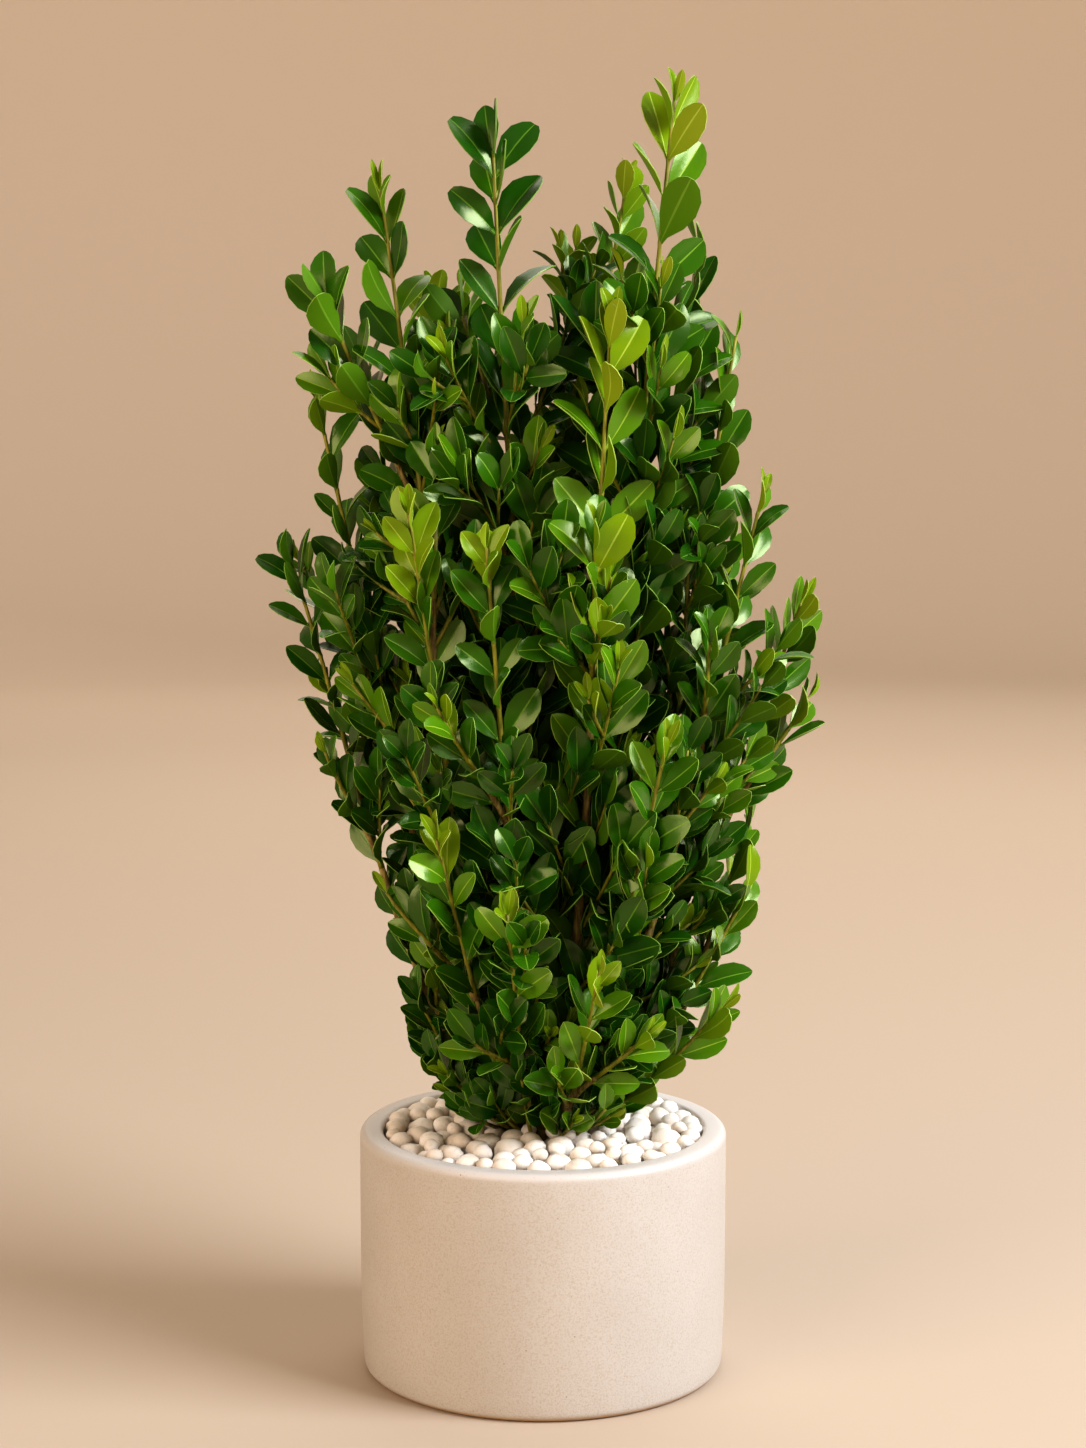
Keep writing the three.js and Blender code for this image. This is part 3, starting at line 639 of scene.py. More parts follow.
limestone, limestone_shader = new_material("tumbled_limestone", Roughness=0.62, IOR=1.5)
place = add_node(limestone, "ShaderNodeTexCoord")
tone = add_node(limestone, "ShaderNodeTexNoise", inputs={"Scale": 1 / STONE_TONE, "Detail": 2},
                links={"Vector": (place, "Object")})
tone_ramp = add_node(limestone, "ShaderNodeValToRGB", links={"Fac": (tone, "Fac")})
ramp_stops(tone_ramp, [(0.36, linear("dccebd")), (0.5, linear("ece2d6")), (0.66, linear("f6f0e8"))])
marks = add_node(limestone, "ShaderNodeTexNoise", inputs={"Scale": 1 / STONE_MARK, "Detail": 4},
                 links={"Vector": (place, "Object")})
mark_share = add_node(limestone, "ShaderNodeMapRange",
                      inputs={"From Min": 0.58, "From Max": 0.75, "To Max": 0.35},
                      links={"Value": (marks, "Fac")})
stone_colour = add_node(limestone, "ShaderNodeMix", {"data_type": "RGBA"}, {"B": linear("b59c80")},
                        {"A": (tone_ramp, "Color"), "Factor": (mark_share, "Result")})
feed(limestone, limestone_shader, "Base Color", stone_colour, "Result")
stone_relief = add_node(limestone, "ShaderNodeBump",
                        inputs={"Strength": 0.25, "Distance": 0.2 * MM},
                        links={"Height": (marks, "Fac")})
feed(limestone, limestone_shader, "Normal", stone_relief, "Normal")

pebbles = joined("pebbles", pebble_copies, [limestone], 180)
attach(pebbles, BODY)
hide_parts("pebble_layer")

# %% [markdown]
# ## The rule of growth
# Every stem starts on the low dome of the root crown, apart from its neighbours, and leans out less
# as it rises to its own tip. Forks leave some stems further up. The stems and all forks but the
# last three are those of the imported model, from the same few numbers. The side twigs that carry
# most of the leaves are grown on from them inside the same crown.

# %% Stems and forks
DOME_RADIUS = 16 * MM
DOME_CENTRE = Vector((0, 0, 87.5 * MM))
JOINT_GAP = 0.3 * MM
UP = Vector((0, 0, 1))

# Each stem's highest leaf tip (x, y, z) in millimetres, the share of it that is a bare bough, how
# many of its topmost leaf pairs are young and light green, the tone of the rest, and the length of
# its full-grown leaves in millimetres. A stem with no young leaves is resting.
STEMS = [
    ("tall_right", 49, -5, 488, 0.2, 3, "green", 28),
    ("tall_centre", -19, -15, 478, 0.2, 0, "deep", 27),
    ("upper_left", -61, -5, 456, 0.2, 1, "green", 26),
    ("back_right_tall", 64, 40, 454, 0.2, 1, "green", 24),
    # back_centre's leaves get a lighter tone as painted light, for light shining through them from
    # behind.
    ("back_centre", 13, 50, 436, 0.2, 1, "fresh", 21),
    ("back_left", -43, 45, 418, 0.2, 2, "green", 22),
    ("front_right", 25, -36, 408, 0.18, 4, "fresh", 27),
    ("right_upper", 74, 5, 403, 0.2, 1, "green", 22),
    ("left_outer", -87, 0, 380, 0.18, 2, "green", 21),
    ("right_mid", 84, -12, 345, 0.18, 1, "green", 22),
    ("front_left", -50, -45, 340, 0.15, 4, "green", 21.5),
    ("front_centre", -21, -52, 328, 0.15, 2, "green", 22),
    ("far_left", -98, -8, 322, 0.15, 0, "deep", 20),
    ("back_upper", 22, 76, 352, 0.18, 2, "green", 22),
    ("left_inner", -78, 32, 302, 0.15, 1, "deep", 20),
    ("right_outer", 101, 3, 303, 0.15, 2, "green", 22),
    ("back_right", 76, 55, 320, 0.15, 1, "green", 22),
    ("back_mid", -28, 78, 300, 0.15, 2, "green", 22),
    ("front_right_low", 47, -50, 256, 0, 2, "green", 24),
    ("front_low_left", -41, -54, 222, 0, 3, "green", 23),
    ("back_low_left", -64, 52, 226, 0, 1, "deep", 21),
    ("back_low_right", 44, 72, 232, 0, 2, "green", 21),
    ("right_low", 86, -8, 200, 0, 2, "fresh", 22),
    ("low_front_left", -14, -64, 196, 0, 2, "green", 22),
    ("low_front", 22, -66, 174, 0, 3, "fresh", 21),
    ("left_bottom", -54, -12, 156, 0, 0, "deep", 19),
    ("right_bottom", 74, -22, 150, 0, 1, "fresh", 23),
    ("back_bottom", -12, 66, 168, 0, 1, "deep", 20),
]

# Forks: the stem that each leaves, the height where it does, its highest leaf tip, and its number
# of young leaf pairs.
FORKS = [
    ("upper_left", 318, -86, -14, 423, 0),
    ("back_centre", 330, 34, 42, 462, 2),
    ("back_left", 300, -66, 62, 372, 1),
    ("front_right", 236, 19, -56, 335, 1),
    ("front_left", 268, -38, -22, 364, 1),
    ("front_centre", 214, -42, -62, 270, 2),
    ("right_outer", 212, 106, 8, 266, 2),
    ("right_low", 140, 84, 26, 222, 1),
    ("right_mid", 240, 62, -34, 296, 0),
    ("back_mid", 220, -62, 70, 262, 1),
    ("back_right", 230, 88, 30, 250, 1),
    ("far_left", 200, -84, -30, 250, 1),
    ("low_front_left", 122, -36, -52, 144, 0),
    ("low_front", 112, 44, -50, 146, 1),
    ("low_front", 106, 4, -64, 132, 0),
    ("left_bottom", 106, -44, -34, 132, 0),
    ("back_bottom", 116, -46, 44, 142, 0),
    ("back_low_right", 122, 50, 42, 146, 1),
    ("front_low_left", 150, -64, -34, 198, 1),
    ("back_low_left", 138, -76, 26, 186, 0),
    ("right_bottom", 108, 50, 16, 142, 1),
    ("back_left", 320, -31, 40, 421, 2),
    ("upper_left", 300, -45, 20, 402, 0),
    ("tall_centre", 296, -37, 8, 399, 1),
]
FORK_FOLLOWS = 0.8

# The crown's space in millimetres: height, reach to the left, to the right, and half depth.
CROWN = np.array([
    [92, 36, 40, 40],
    [110, 43, 44, 52],
    [124, 54, 58, 62],
    [134, 54, 77, 68],
    [150, 55, 81, 74],
    [193, 66, 82, 81],
    [216, 76, 88, 86],
    [240, 88, 104, 88],
    [262, 100, 110, 90],
    [296, 110, 109, 93],
    [306, 114, 104, 94],
    [324, 112, 96, 93],
    [336, 82, 89, 93],
    [362, 88, 77, 92],
    [378, 101, 74, 91],
    [418, 103, 74, 87],
    [434, 99, 71, 82],
    [444, 84, 69, 78],
    [456, 77, 66, 74],
    [492, 70, 60, 56],
]) * MM
CROWN_FRONT = -80 * MM
print("stems", len(STEMS), "forks", len(FORKS))

# %% [markdown]
# A stem sets out leaning further than the straight line to its tip, and bends up to the light. All
# 28 start on the small dome, so those that would start too close push each other apart, round after
# round.

# %% The way each stem sets out
START_SPACING = math.radians(17)
START_LEAN_FACTOR = 1.7
START_LEAN_MOST = math.radians(66)
SPREAD_ROUNDS = 400
SPREAD_SHARE = 0.25


def start_directions(tips):
    """The way each stem sets out. Neighbours that would start too close are moved apart."""
    found = []
    for tip in tips:
        chord = tip - DOME_CENTRE
        lean = min(chord.angle(UP) * START_LEAN_FACTOR, START_LEAN_MOST)
        found.append(heading(lean, math.atan2(chord.y, chord.x)))
    found = np.array(found)
    lowest = math.cos(START_LEAN_MOST)
    for _ in range(SPREAD_ROUNDS):
        for i in range(len(found)):
            for j in range(i + 1, len(found)):
                lack = START_SPACING - math.acos(min(1, max(-1, found[i] @ found[j])))
                if lack <= 0:
                    continue
                push = found[i] - found[j]
                push *= lack * SPREAD_SHARE / np.linalg.norm(push)
                found[i] += push
                found[i] /= np.linalg.norm(found[i])
                found[j] -= push
                found[j] /= np.linalg.norm(found[j])
        for one in found:
            if one[2] < lowest:
                one[:2] *= math.sin(START_LEAN_MOST) / math.hypot(one[0], one[1])
                one[2] = lowest
    return [Vector(one) for one in found]


tips = [Vector(row[1:4]) * MM for row in STEMS]
ways = start_directions(tips)
print("widest start leans", round(max(math.degrees(way.angle(UP)) for way in ways), 1), "degrees")

# %% [markdown]
# Every limb, from stem to twig, is a smooth curve with four control points that ends more upright
# than it sets out. It tapers evenly, and it can tell its place, direction and radius at any
# distance from its root, so that leaves and side twigs can be set on it there.

# %% A limb
START_REACH = 0.24
TIP_REACH = 0.34
TIP_UPRIGHT = 0.2
PATH_POINTS = 129
PATH_STEP = 0.6 * MM


class Shoot:
    """A limb along a smooth path. Places on it are distances from its root, in metres. Its radii
    are those at root and tip, young is its number of young leaf pairs, leaf is the length of its
    leaves, and bare is the share of it that has lost them."""

    def __init__(self, kind, start, way, tip, radii, young, leaf, tone=None, bare=0):
        length = (tip - start).length
        arrival = ((tip - start).normalized() + TIP_UPRIGHT * UP).normalized()
        controls = [start, start + way * length * START_REACH,
                    tip - arrival * length * TIP_REACH, tip]
        t = np.linspace(0, 1, PATH_POINTS)[:, None]
        weights = [(1 - t) ** 3, 3 * t * (1 - t) ** 2, 3 * t * t * (1 - t), t ** 3]
        self.line = sum(w * np.array(c) for w, c in zip(weights, controls))
        steps = np.linalg.norm(np.diff(self.line, axis=0), axis=1)
        self.run = np.concatenate([[0], np.cumsum(steps)])
        self.length = float(self.run[-1])
        self.flank = np.array((tip - start).cross(UP).normalized())
        self.kind = kind
        self.radii = radii
        self.young = young
        self.leaf = leaf
        self.tone = tone
        self.bare = bare * self.length
        self.leafy_to = 0.0

    def point(self, distance):
        return np.array([np.interp(distance, self.run, self.line[:, k]) for k in range(3)]).T

    def along(self, distance):
        ahead = self.point(np.minimum(distance + PATH_STEP, self.length))
        behind = self.point(np.maximum(np.asarray(distance) - PATH_STEP, 0))
        return (ahead - behind) / np.linalg.norm(ahead - behind, axis=-1, keepdims=True)

    def across(self, distance):
        """The direction along the limb and two across it."""
        along = self.along(distance)
        first = self.flank - along * np.sum(self.flank * along, axis=-1, keepdims=True)
        first = first / np.linalg.norm(first, axis=-1, keepdims=True)
        return along, first, np.cross(first, along)

    def sideways(self, distance, turn, side):
        """The direction along the limb and the one out to a side of it, turned about it."""
        along, first, second = self.across(distance)
        angle = turn + side * math.pi
        return along, first * math.cos(angle) + second * math.sin(angle)

    def radius(self, distance):
        share = distance / self.length
        return self.radii[0] * (1 - share) + self.radii[1] * share

    def distance_at_height(self, height):
        return float(np.interp(height, self.line[:, 2], self.run))


print("points on a limb's path", PATH_POINTS)

# %% [markdown]
# A box stem is thin for its height: about 4 mm at the root crown and little over 1 mm at the tip.
# A fork sets out halfway between its own line and its stem's, as a shoot from a bud does. A growing
# stem ends in small young leaves, and a resting one in a pair of full-sized leaves, whose tips
# reach further past its end.

# %% Grow the stems and forks
STEM_BASE_RADIUS = 2.1 * MM
STEM_TIP_RADIUS = 0.6 * MM
FORK_RADII = (1.25 * MM, STEM_TIP_RADIUS)
TALL_STEM = 390 * MM
SHORT_STEM_EXTRA = 0.25
GROWING_REACH = 10 * MM
RESTING_REACH_SHARE = 0.72
FORK_LEAF_SHARE = 0.92

stems = {}
for row, tip, way in zip(STEMS, tips, ways):
    name, *_, bare, young, tone, leaf_length = row
    start = DOME_CENTRE + way * (DOME_RADIUS + JOINT_GAP)
    stoutness = min(1.0, (tip - start).length / TALL_STEM + SHORT_STEM_EXTRA)
    past_end = GROWING_REACH if young else leaf_length * MM * RESTING_REACH_SHARE
    end = tip - (tip - start).normalized() * past_end
    radii = (STEM_BASE_RADIUS * stoutness, STEM_TIP_RADIUS)
    stems[name] = Shoot("stem", start, way, end, radii, young, leaf_length * MM, tone, bare)

forks = []
for name, height, x, y, z, young in FORKS:
    parent = stems[name]
    root_at = parent.distance_at_height(height * MM)
    root = Vector(parent.point(root_at))
    tip = Vector((x, y, z)) * MM
    way = ((tip - root).normalized() + FORK_FOLLOWS * Vector(parent.along(root_at))).normalized()
    past_end = GROWING_REACH if young else parent.leaf * RESTING_REACH_SHARE
    end = tip - (tip - root).normalized() * past_end
    leaf = parent.leaf * FORK_LEAF_SHARE
    forks.append(Shoot("fork", root, way, end, FORK_RADII, young, leaf, parent.tone))
main_shoots = [*stems.values(), *forks]
print("longest stem", round(max(s.length for s in stems.values()), 3))

# %% [markdown]
# Leaves stand in opposite pairs, and each pair is turned a quarter from the last. The place where a
# pair stands is a node. Side twigs start in the angle above a leaf, so they start at nodes too. On
# the old wood near the root crown the leaves have dropped, and only their nodes are left.

# %% Nodes along a shoot
GAP_SHARE = {"stem": 0.52, "fork": 0.52, "twig": 0.56}
TIP_GAP_SHARE = 0.46
TIP_GAP_RISE = 0.13
GAP_PLAY = 0.14
CROWDED_START = 48 * MM
CROWDED_SHARE = 0.6
TURN_PLAY = 0.2
FACING_PLAY = 0.3
PAST_LEAF = 0.8 * MM
LEAFLESS_START = {"stem": 5 * MM, "fork": 8 * MM, "twig": 6 * MM}

growth = np.random.default_rng(34)


def nodes_of(shoot):
    """From the tip down, where each leaf pair stands or stood: its distance from the shoot's root,
    its turn about the shoot, its order from the tip, and whether it still has leaves."""
    turn = growth.uniform(0, math.pi)
    if shoot.kind != "twig":
        _, first, second = shoot.across(shoot.length)
        turn = math.atan2(second[0], first[0]) + growth.integers(2) * math.pi / 2
        turn += growth.normal(0, FACING_PLAY)
    distance = shoot.length - PAST_LEAF
    found = []
    while distance > LEAFLESS_START[shoot.kind] or not found:
        found.append((distance, turn, len(found), distance > shoot.bare))
        opening = min(1.0, TIP_GAP_SHARE + TIP_GAP_RISE * len(found))
        if shoot.kind == "stem" and distance < CROWDED_START:
            opening = CROWDED_SHARE
        gap = shoot.leaf * GAP_SHARE[shoot.kind] * opening
        distance -= gap * growth.uniform(1 - GAP_PLAY, 1 + GAP_PLAY)
        turn += math.pi / 2 + growth.uniform(-TURN_PLAY, TURN_PLAY)
    return found


for shoot in main_shoots:
    shoot.nodes = nodes_of(shoot)
print("nodes on stems and forks", sum(len(s.nodes) for s in main_shoots))

# %% [markdown]
# Twigs and leaves only grow where there is room: inside the crown, above the pebbles and the rim,
# and clear of what has grown before them. Many thousands of points are tested, so they are sorted
# into boxes first.

# %% Tests for room
OVER_PEBBLES = 0.3 * MM
OVER_RIM = 1.5 * MM


def crown_share(points):
    """How far out points are in the crown's space: 0 on its axis and 1 on its surface."""
    left, right, deep = (np.interp(points[:, 2], CROWN[:, 0], CROWN[:, k]) for k in (1, 2, 3))
    wide = np.where(points[:, 0] < 0, left, right)
    return np.hypot(points[:, 0] / wide, points[:, 1] / deep)


def in_crown(points, most=1.0):
    """Whether every point is in the crown's space, up to a share of the way out."""
    heights = points[:, 2]
    inside = (crown_share(points) < most) & (points[:, 1] > CROWN_FRONT)
    return bool(np.all(inside & (heights > CROWN[0, 0]) & (heights < CROWN[-1, 0])))


def clear_of_pot(points):
    """Whether every point is above the pebbles and the rim."""
    away = np.hypot(points[:, 0], points[:, 1])
    lowest = np.where(away < POT_INNER_RADIUS, bed_limit(away) + OVER_PEBBLES, POT_HEIGHT + OVER_RIM)
    return bool(np.all(points[:, 2] > lowest))


class NearPoints:
    """Points sorted into boxes as wide as a gap, so that a test looks only at those close by."""

    AROUND = [(a, b, c) for a in (-1, 0, 1) for b in (-1, 0, 1) for c in (-1, 0, 1)]

    def __init__(self, gap):
        self.gap = gap
        self.boxes = {}

    def add(self, points, owner=-1):
        for point in points.tolist():
            box = tuple(int(c // self.gap) for c in point)
            self.boxes.setdefault(box, []).append((*point, owner))

    def free(self, points, owner=None):
        """Whether no point of another owner is within the gap."""
        for x, y, z in points.tolist():
            i, j, k = int(x // self.gap), int(y // self.gap), int(z // self.gap)
            for a, b, c in self.AROUND:
                for u, v, w, whose in self.boxes.get((i + a, j + b, k + c), ()):
                    apart = (u - x) ** 2 + (v - y) ** 2 + (w - z) ** 2
                    if whose != owner and apart < self.gap ** 2:
                        return False
        return True


tips_inside = sum(in_crown(shoot.line[-1:]) for shoot in main_shoots)
print("ends of stems and forks inside the crown", tips_inside, "of", len(main_shoots))

# %% [markdown]
# The topmost part of a stem is this year's growth and has no side twigs. Below it most nodes carry
# one or two, that leave at about 34 degrees and bend up to the light, and the longer of these
# branch once more. Close above the pebbles they spread wider and hide the old wood. A twig that
# would leave the crown's space or touch another limb isn't grown. Short suckers from the side of
# the root crown fill the gap over the pebbles.

# %% How a side twig grows
TWIG_LENGTHS = (20 * MM, 54 * MM)
LOW_TWIG_LENGTHS = (16 * MM, 34 * MM)
TWIGLET_LENGTHS = (14 * MM, 24 * MM)
TWIG_LEAN = 34
LOW_TWIG_LEAN = 60
LEAN_PLAY = 9
LOW_ZONE = (100 * MM, 170 * MM)
TWIG_SHARE = {"stem": 0.95, "fork": 0.85, "twig": 0.3}
TWIG_FREE_TIP = {"stem": 85 * MM, "fork": 34 * MM, "twig": 14 * MM}
TWIG_FREE_MOST = 0.32
TWIG_BELOW_TIP = {"stem": 55 * MM, "fork": 20 * MM, "twig": 4 * MM}
TWIG_SHARE_START = 0.4
TWIG_SHARE_RISE = 40 * MM
TWIG_RADII = (0.85 * MM, 0.5 * MM)
TWIG_RISE = 0.2
TWIG_ABOVE_LEAF = 1.2 * MM
TWIG_END_REACH = 0.5
LIMB_STEP = 3 * MM
TWIG_CLEARANCE = 3.4 * MM
FREE_OF_PARENT = 1.25
TWIG_LEAF_SHARE = 0.9
TWIGLET_LEAF_SHARE = 0.92
TWIG_GROWING_SHARE = 0.3
TWIG_REACH_MOST = 0.9

limbs = NearPoints(TWIG_CLEARANCE)
for shoot in main_shoots:
    limbs.add(shoot.point(np.arange(0, shoot.length, LIMB_STEP)))


def grow_twig(shoot, node, side):
    """A side twig at a node of a shoot, or None where it can't grow."""
    distance, turn, _, _ = node
    below_tip = shoot.length - distance
    free = min(TWIG_FREE_TIP[shoot.kind], TWIG_FREE_MOST * shoot.length)
    share = TWIG_SHARE[shoot.kind] * min(1, TWIG_SHARE_START + (below_tip - free) / TWIG_SHARE_RISE)
    if below_tip < free or growth.random() > share:
        return None
    highest = shoot.line[-1, 2] - TWIG_BELOW_TIP[shoot.kind]
    along, out = shoot.sideways(distance, turn, side)
    root = Vector(shoot.point(distance + TWIG_ABOVE_LEAF))
    high = float(np.clip((root.z - LOW_ZONE[0]) / (LOW_ZONE[1] - LOW_ZONE[0]), 0, 1))
    lean = LOW_TWIG_LEAN + (TWIG_LEAN - LOW_TWIG_LEAN) * high
    lean = math.radians(lean + growth.uniform(-LEAN_PLAY, LEAN_PLAY))
    way = Vector(along * math.cos(lean) + out * math.sin(lean))
    span = TWIG_LENGTHS if high > 0.5 else LOW_TWIG_LENGTHS
    length = growth.uniform(*(TWIGLET_LENGTHS if shoot.kind == "twig" else span))
    tip = root + way * length + UP * length * TWIG_RISE
    young = int(growth.random() < TWIG_GROWING_SHARE)
    leaf = shoot.leaf * (TWIG_LEAF_SHARE if shoot.kind != "twig" else TWIGLET_LEAF_SHARE)
    twig = Shoot("twig", root, way, tip, TWIG_RADII, young, leaf)
    free_from = FREE_OF_PARENT * TWIG_CLEARANCE / math.sin(lean)
    samples = twig.point(np.arange(free_from, twig.length, LIMB_STEP))
    reach = np.array([tip + way * shoot.leaf * TWIG_END_REACH])
    inside = tip.z < highest and in_crown(reach, TWIG_REACH_MOST)
    if not inside or not clear_of_pot(samples) or not limbs.free(samples):
        return None
    limbs.add(samples)
    twig.nodes = nodes_of(twig)
    return twig


def grow_twigs(from_shoots):
    """All twigs that grow on some shoots."""
    grown = []
    for shoot in from_shoots:
        for node in shoot.nodes:
            grown += [twig for twig in (grow_twig(shoot, node, side) for side in (0, 1)) if twig]
    return grown


print("twig lengths", TWIG_LENGTHS)

# %% Grow the suckers, the side twigs and their twiglets
SUCKER_TRIES = 150
SUCKER_LEANS = (50, 76)
SUCKER_TIP_LEANS = (34, 66)
SUCKER_LENGTHS = (20 * MM, 46 * MM)
SUCKER_LEAF = 18 * MM
SUCKER_FREE_FROM = 9 * MM
GOLDEN_TURN = math.pi * (3 - math.sqrt(5))


def grow_sucker(number):
    """A short shoot from the side of the root crown, or None where there is no room."""
    turn = number * GOLDEN_TURN
    way = Vector(heading(math.radians(growth.uniform(*SUCKER_LEANS)), turn))
    rise = Vector(heading(math.radians(growth.uniform(*SUCKER_TIP_LEANS)), turn))
    root = DOME_CENTRE + way * DOME_RADIUS
    tip = root + rise * growth.uniform(*SUCKER_LENGTHS)
    young = int(growth.random() < TWIG_GROWING_SHARE)
    sucker = Shoot("twig", root, way, tip, TWIG_RADII, young, SUCKER_LEAF)
    samples = sucker.point(np.arange(SUCKER_FREE_FROM, sucker.length, LIMB_STEP))
    if not in_crown(samples[-1:]) or not clear_of_pot(samples[-1:]) or not limbs.free(samples):
        return None
    limbs.add(samples)
    sucker.nodes = nodes_of(sucker)
    return sucker


suckers = [s for s in (grow_sucker(k) for k in range(SUCKER_TRIES)) if s]
twigs = grow_twigs(main_shoots)
twiglets = grow_twigs(twigs)
twigs += suckers + twiglets
shoots = [*main_shoots, *twigs]
print("side twigs", len(twigs), "of which suckers", len(suckers), "and twiglets", len(twiglets))
print("nodes", sum(len(s.nodes) for s in shoots))

# %% [markdown]
# ## The leaf
# A box leaf is a small leathery blade, 15 to 28 mm long, widest above its middle, blunt at the tip
# and narrowed to a short stalk. The halves rise a little from the pale midrib and flatten towards
# the edge, a thin pale line that is partly its own paler margin and partly painted rim light. It is
# grown from its stalk: a folded line of edges is extruded row by row, and each row takes the
# outline's width and the leaf's bend. Solidify then gives the blade its thickness, with the underside
# and the edge in slots of their own. The underside is seen less, so every second line along it is
# dissolved.

# %% Leaf shapes
LEAF_ROWS = [  # share of the length, and half width as a share of the greatest
    (0.0, 0.1), (0.11, 0.2), (0.31, 0.72), (0.53, 1.0), (0.74, 0.94), (0.89, 0.62), (0.965, 0.3)]
LEAF_WIDTH = 0.465
LEAF_SECTION = [  # place across, and lift at a fold of 45 degrees, as shares of the half width
    (-1.0, 0.85), (-0.5, 0.55), (-0.05, 0.0), (0.05, 0.0), (0.5, 0.55), (1.0, 0.85)]
MID_COLUMNS = (1, 4)
RIB_REACH = 0.01
LEAF_THICKNESS = 0.0135
ARCH_LEVEL_AT = 0.3
TIP_BULGE = 0.03
TIP_FROM = 0.94
TIP_PUSHES = [(0.6, 0.6), (0.15, 0.4)]  # reach across, as a share of the tip's half, and strength
SLOT_BLADE, SLOT_RIB, SLOT_UNDER, SLOT_EDGE = range(4)
# Solidify numbers the underside's slots from 2 and the rim's from 4. These are what they become.
SOLID_SLOTS = [SLOT_BLADE, SLOT_RIB, SLOT_UNDER, SLOT_RIB, SLOT_EDGE, SLOT_EDGE]


def leaf_shape(fold, arch, twist):
    """A leaf of length 1 along Y with its upper face to +Z, from its fold, its bend back and its
    twist in degrees."""
    half = LEAF_WIDTH / 2 * LEAF_ROWS[0][1]
    steepness = math.tan(math.radians(fold))
    leaf = chain([(place * half, lift * half * steepness) for place, lift in LEAF_SECTION])
    bpy.ops.mesh.select_all(action="SELECT")
    centre = Vector((0, 0, 0))
    for (last, last_width), (share, width) in zip(LEAF_ROWS, LEAF_ROWS[1:]):
        slope = math.radians(arch) * (0.5 * (last + share) - ARCH_LEVEL_AT)
        step = Vector((0, math.cos(slope), -math.sin(slope))) * (share - last)
        bpy.ops.mesh.extrude_region_move(TRANSFORM_OT_translate={"value": step})
        centre += step
        grow = width / last_width
        bpy.ops.transform.resize(value=(grow, 1, grow), center_override=centre)
        bpy.ops.transform.rotate(
            value=-math.radians(twist) * (share - last), orient_axis="Y", center_override=centre)
    half = LEAF_WIDTH / 2 * LEAF_ROWS[-1][1]
    for reach, push in TIP_PUSHES:
        pick("VERT", lambda place, normal: place.y > TIP_FROM and abs(place.x) < reach * half)
        bpy.ops.transform.translate(value=(0, TIP_BULGE * push, 0))
    bpy.ops.mesh.select_all(action="SELECT")
    bpy.ops.mesh.normals_make_consistent(inside=False)
    bpy.ops.object.mode_set(mode="OBJECT")
    mesh = leaf.data
    if sum(face.normal.z for face in mesh.polygons) < 0:
        mesh.flip_normals()
    for face in mesh.polygons:
        face.material_index = SLOT_RIB if abs(face.center.x) < RIB_REACH else SLOT_BLADE
    rows = np.array([vertex.co[:] for vertex in mesh.vertices]).reshape(len(LEAF_ROWS), -1, 3)
    columns = np.argsort(rows[:, :, 0], axis=1)
    count = len(mesh.vertices)
    under_mid = {count + row * len(LEAF_SECTION) + int(columns[row, column])
                 for row in range(len(LEAF_ROWS)) for column in MID_COLUMNS}
    thick = leaf.modifiers.new("blade", "SOLIDIFY")
    thick.thickness = LEAF_THICKNESS
    thick.offset = -1
    thick.material_offset = 2
    thick.material_offset_rim = 4
    for _ in SOLID_SLOTS:
        mesh.materials.append(None)
    apply_all(leaf)
    bpy.ops.object.mode_set(mode="EDIT")
    bpy.ops.mesh.select_mode(type="VERT")
    bpy.ops.mesh.select_all(action="DESELECT")
    bpy.ops.object.mode_set(mode="OBJECT")
    for vertex in leaf.data.vertices:
        vertex.select = vertex.index in under_mid
    bpy.ops.object.mode_set(mode="EDIT")
    bpy.ops.mesh.select_mode(type="EDGE")
    bpy.ops.mesh.dissolve_edges(use_verts=True)
    bpy.ops.object.mode_set(mode="OBJECT")
    shape = shape_of(leaf)
    shape["slots"] = np.array(SOLID_SLOTS)[shape["slots"]]
    return shape


print("rows along a leaf", len(LEAF_ROWS), "points across", len(LEAF_SECTION))

# %% Model the leaf kinds
LEAF_KINDS = [  # fold, bend back and twist in degrees
    (15, 26, 8), (21, 8, -12), (12, 40, 6), (24, -8, 14),
    (16, 52, -8), (19, 18, -4), (9, -14, 10), (23, 34, 0)]
leaf_shapes = [leaf_shape(*kind) for kind in LEAF_KINDS]
leaf_triangles = int(np.sum(leaf_shapes[0]["sizes"] - 2))
print("leaf faces", len(leaf_shapes[0]["sizes"]), "triangles", leaf_triangles)

# %% [markdown]
# ## The leaves
# They fill the crown from the tips down, one pair on each shoot in turn. A leaf turns on its stalk
# until its upper face looks more to the light, up and out of the crown. Each is tried as it would
# grow, then turned up or down, then smaller, and is left out where there is no room, so that leaves
# don't cut through each other or the stems. A leaf's tone belongs to its spray: young leaves at the
# tips are yellow-green, and those on shoots inside the crown are dark, partly as shade leaves are and
# partly as painted shade.

# %% Where leaves may stand, and how they turn
TIP_KINDS = {  # for the pairs from the tip down: share of the full length, and angle to the stem
    "growing": [(0.52, 10), (0.8, 23), (0.95, 32), (1.0, 37)],
    "resting": [(0.84, 20), (0.97, 33), (1.0, 37), (1.0, 39)],
}
ANGLE_PLAY = (0.8, 1.2)
LENGTH_PLAY = (0.86, 1.1)
WIDTH_PLAY = (0.88, 1.1)
YOUNG_WIDTH = 0.65
YOUNG_UNDER = 0.6
ROLL_PLAY = 0.42
LIGHT_UP = 0.4
LIGHT_FRONT = np.array([0.15, -0.6, 0.0])
LIGHT_SHARE = 0.74
LIGHT_ROLL_MOST = math.radians(72)
LEAF_TRIES = [(1, 1), (0.65, 1), (1.25, 0.92), (0.4, 0.84), (1.0, 0.72)]  # opening and size
LEAF_CLEARANCE = 2.4 * MM
LIMB_CLEARANCE = 1.6 * MM
LIMB_FINE_STEP = 2 * MM
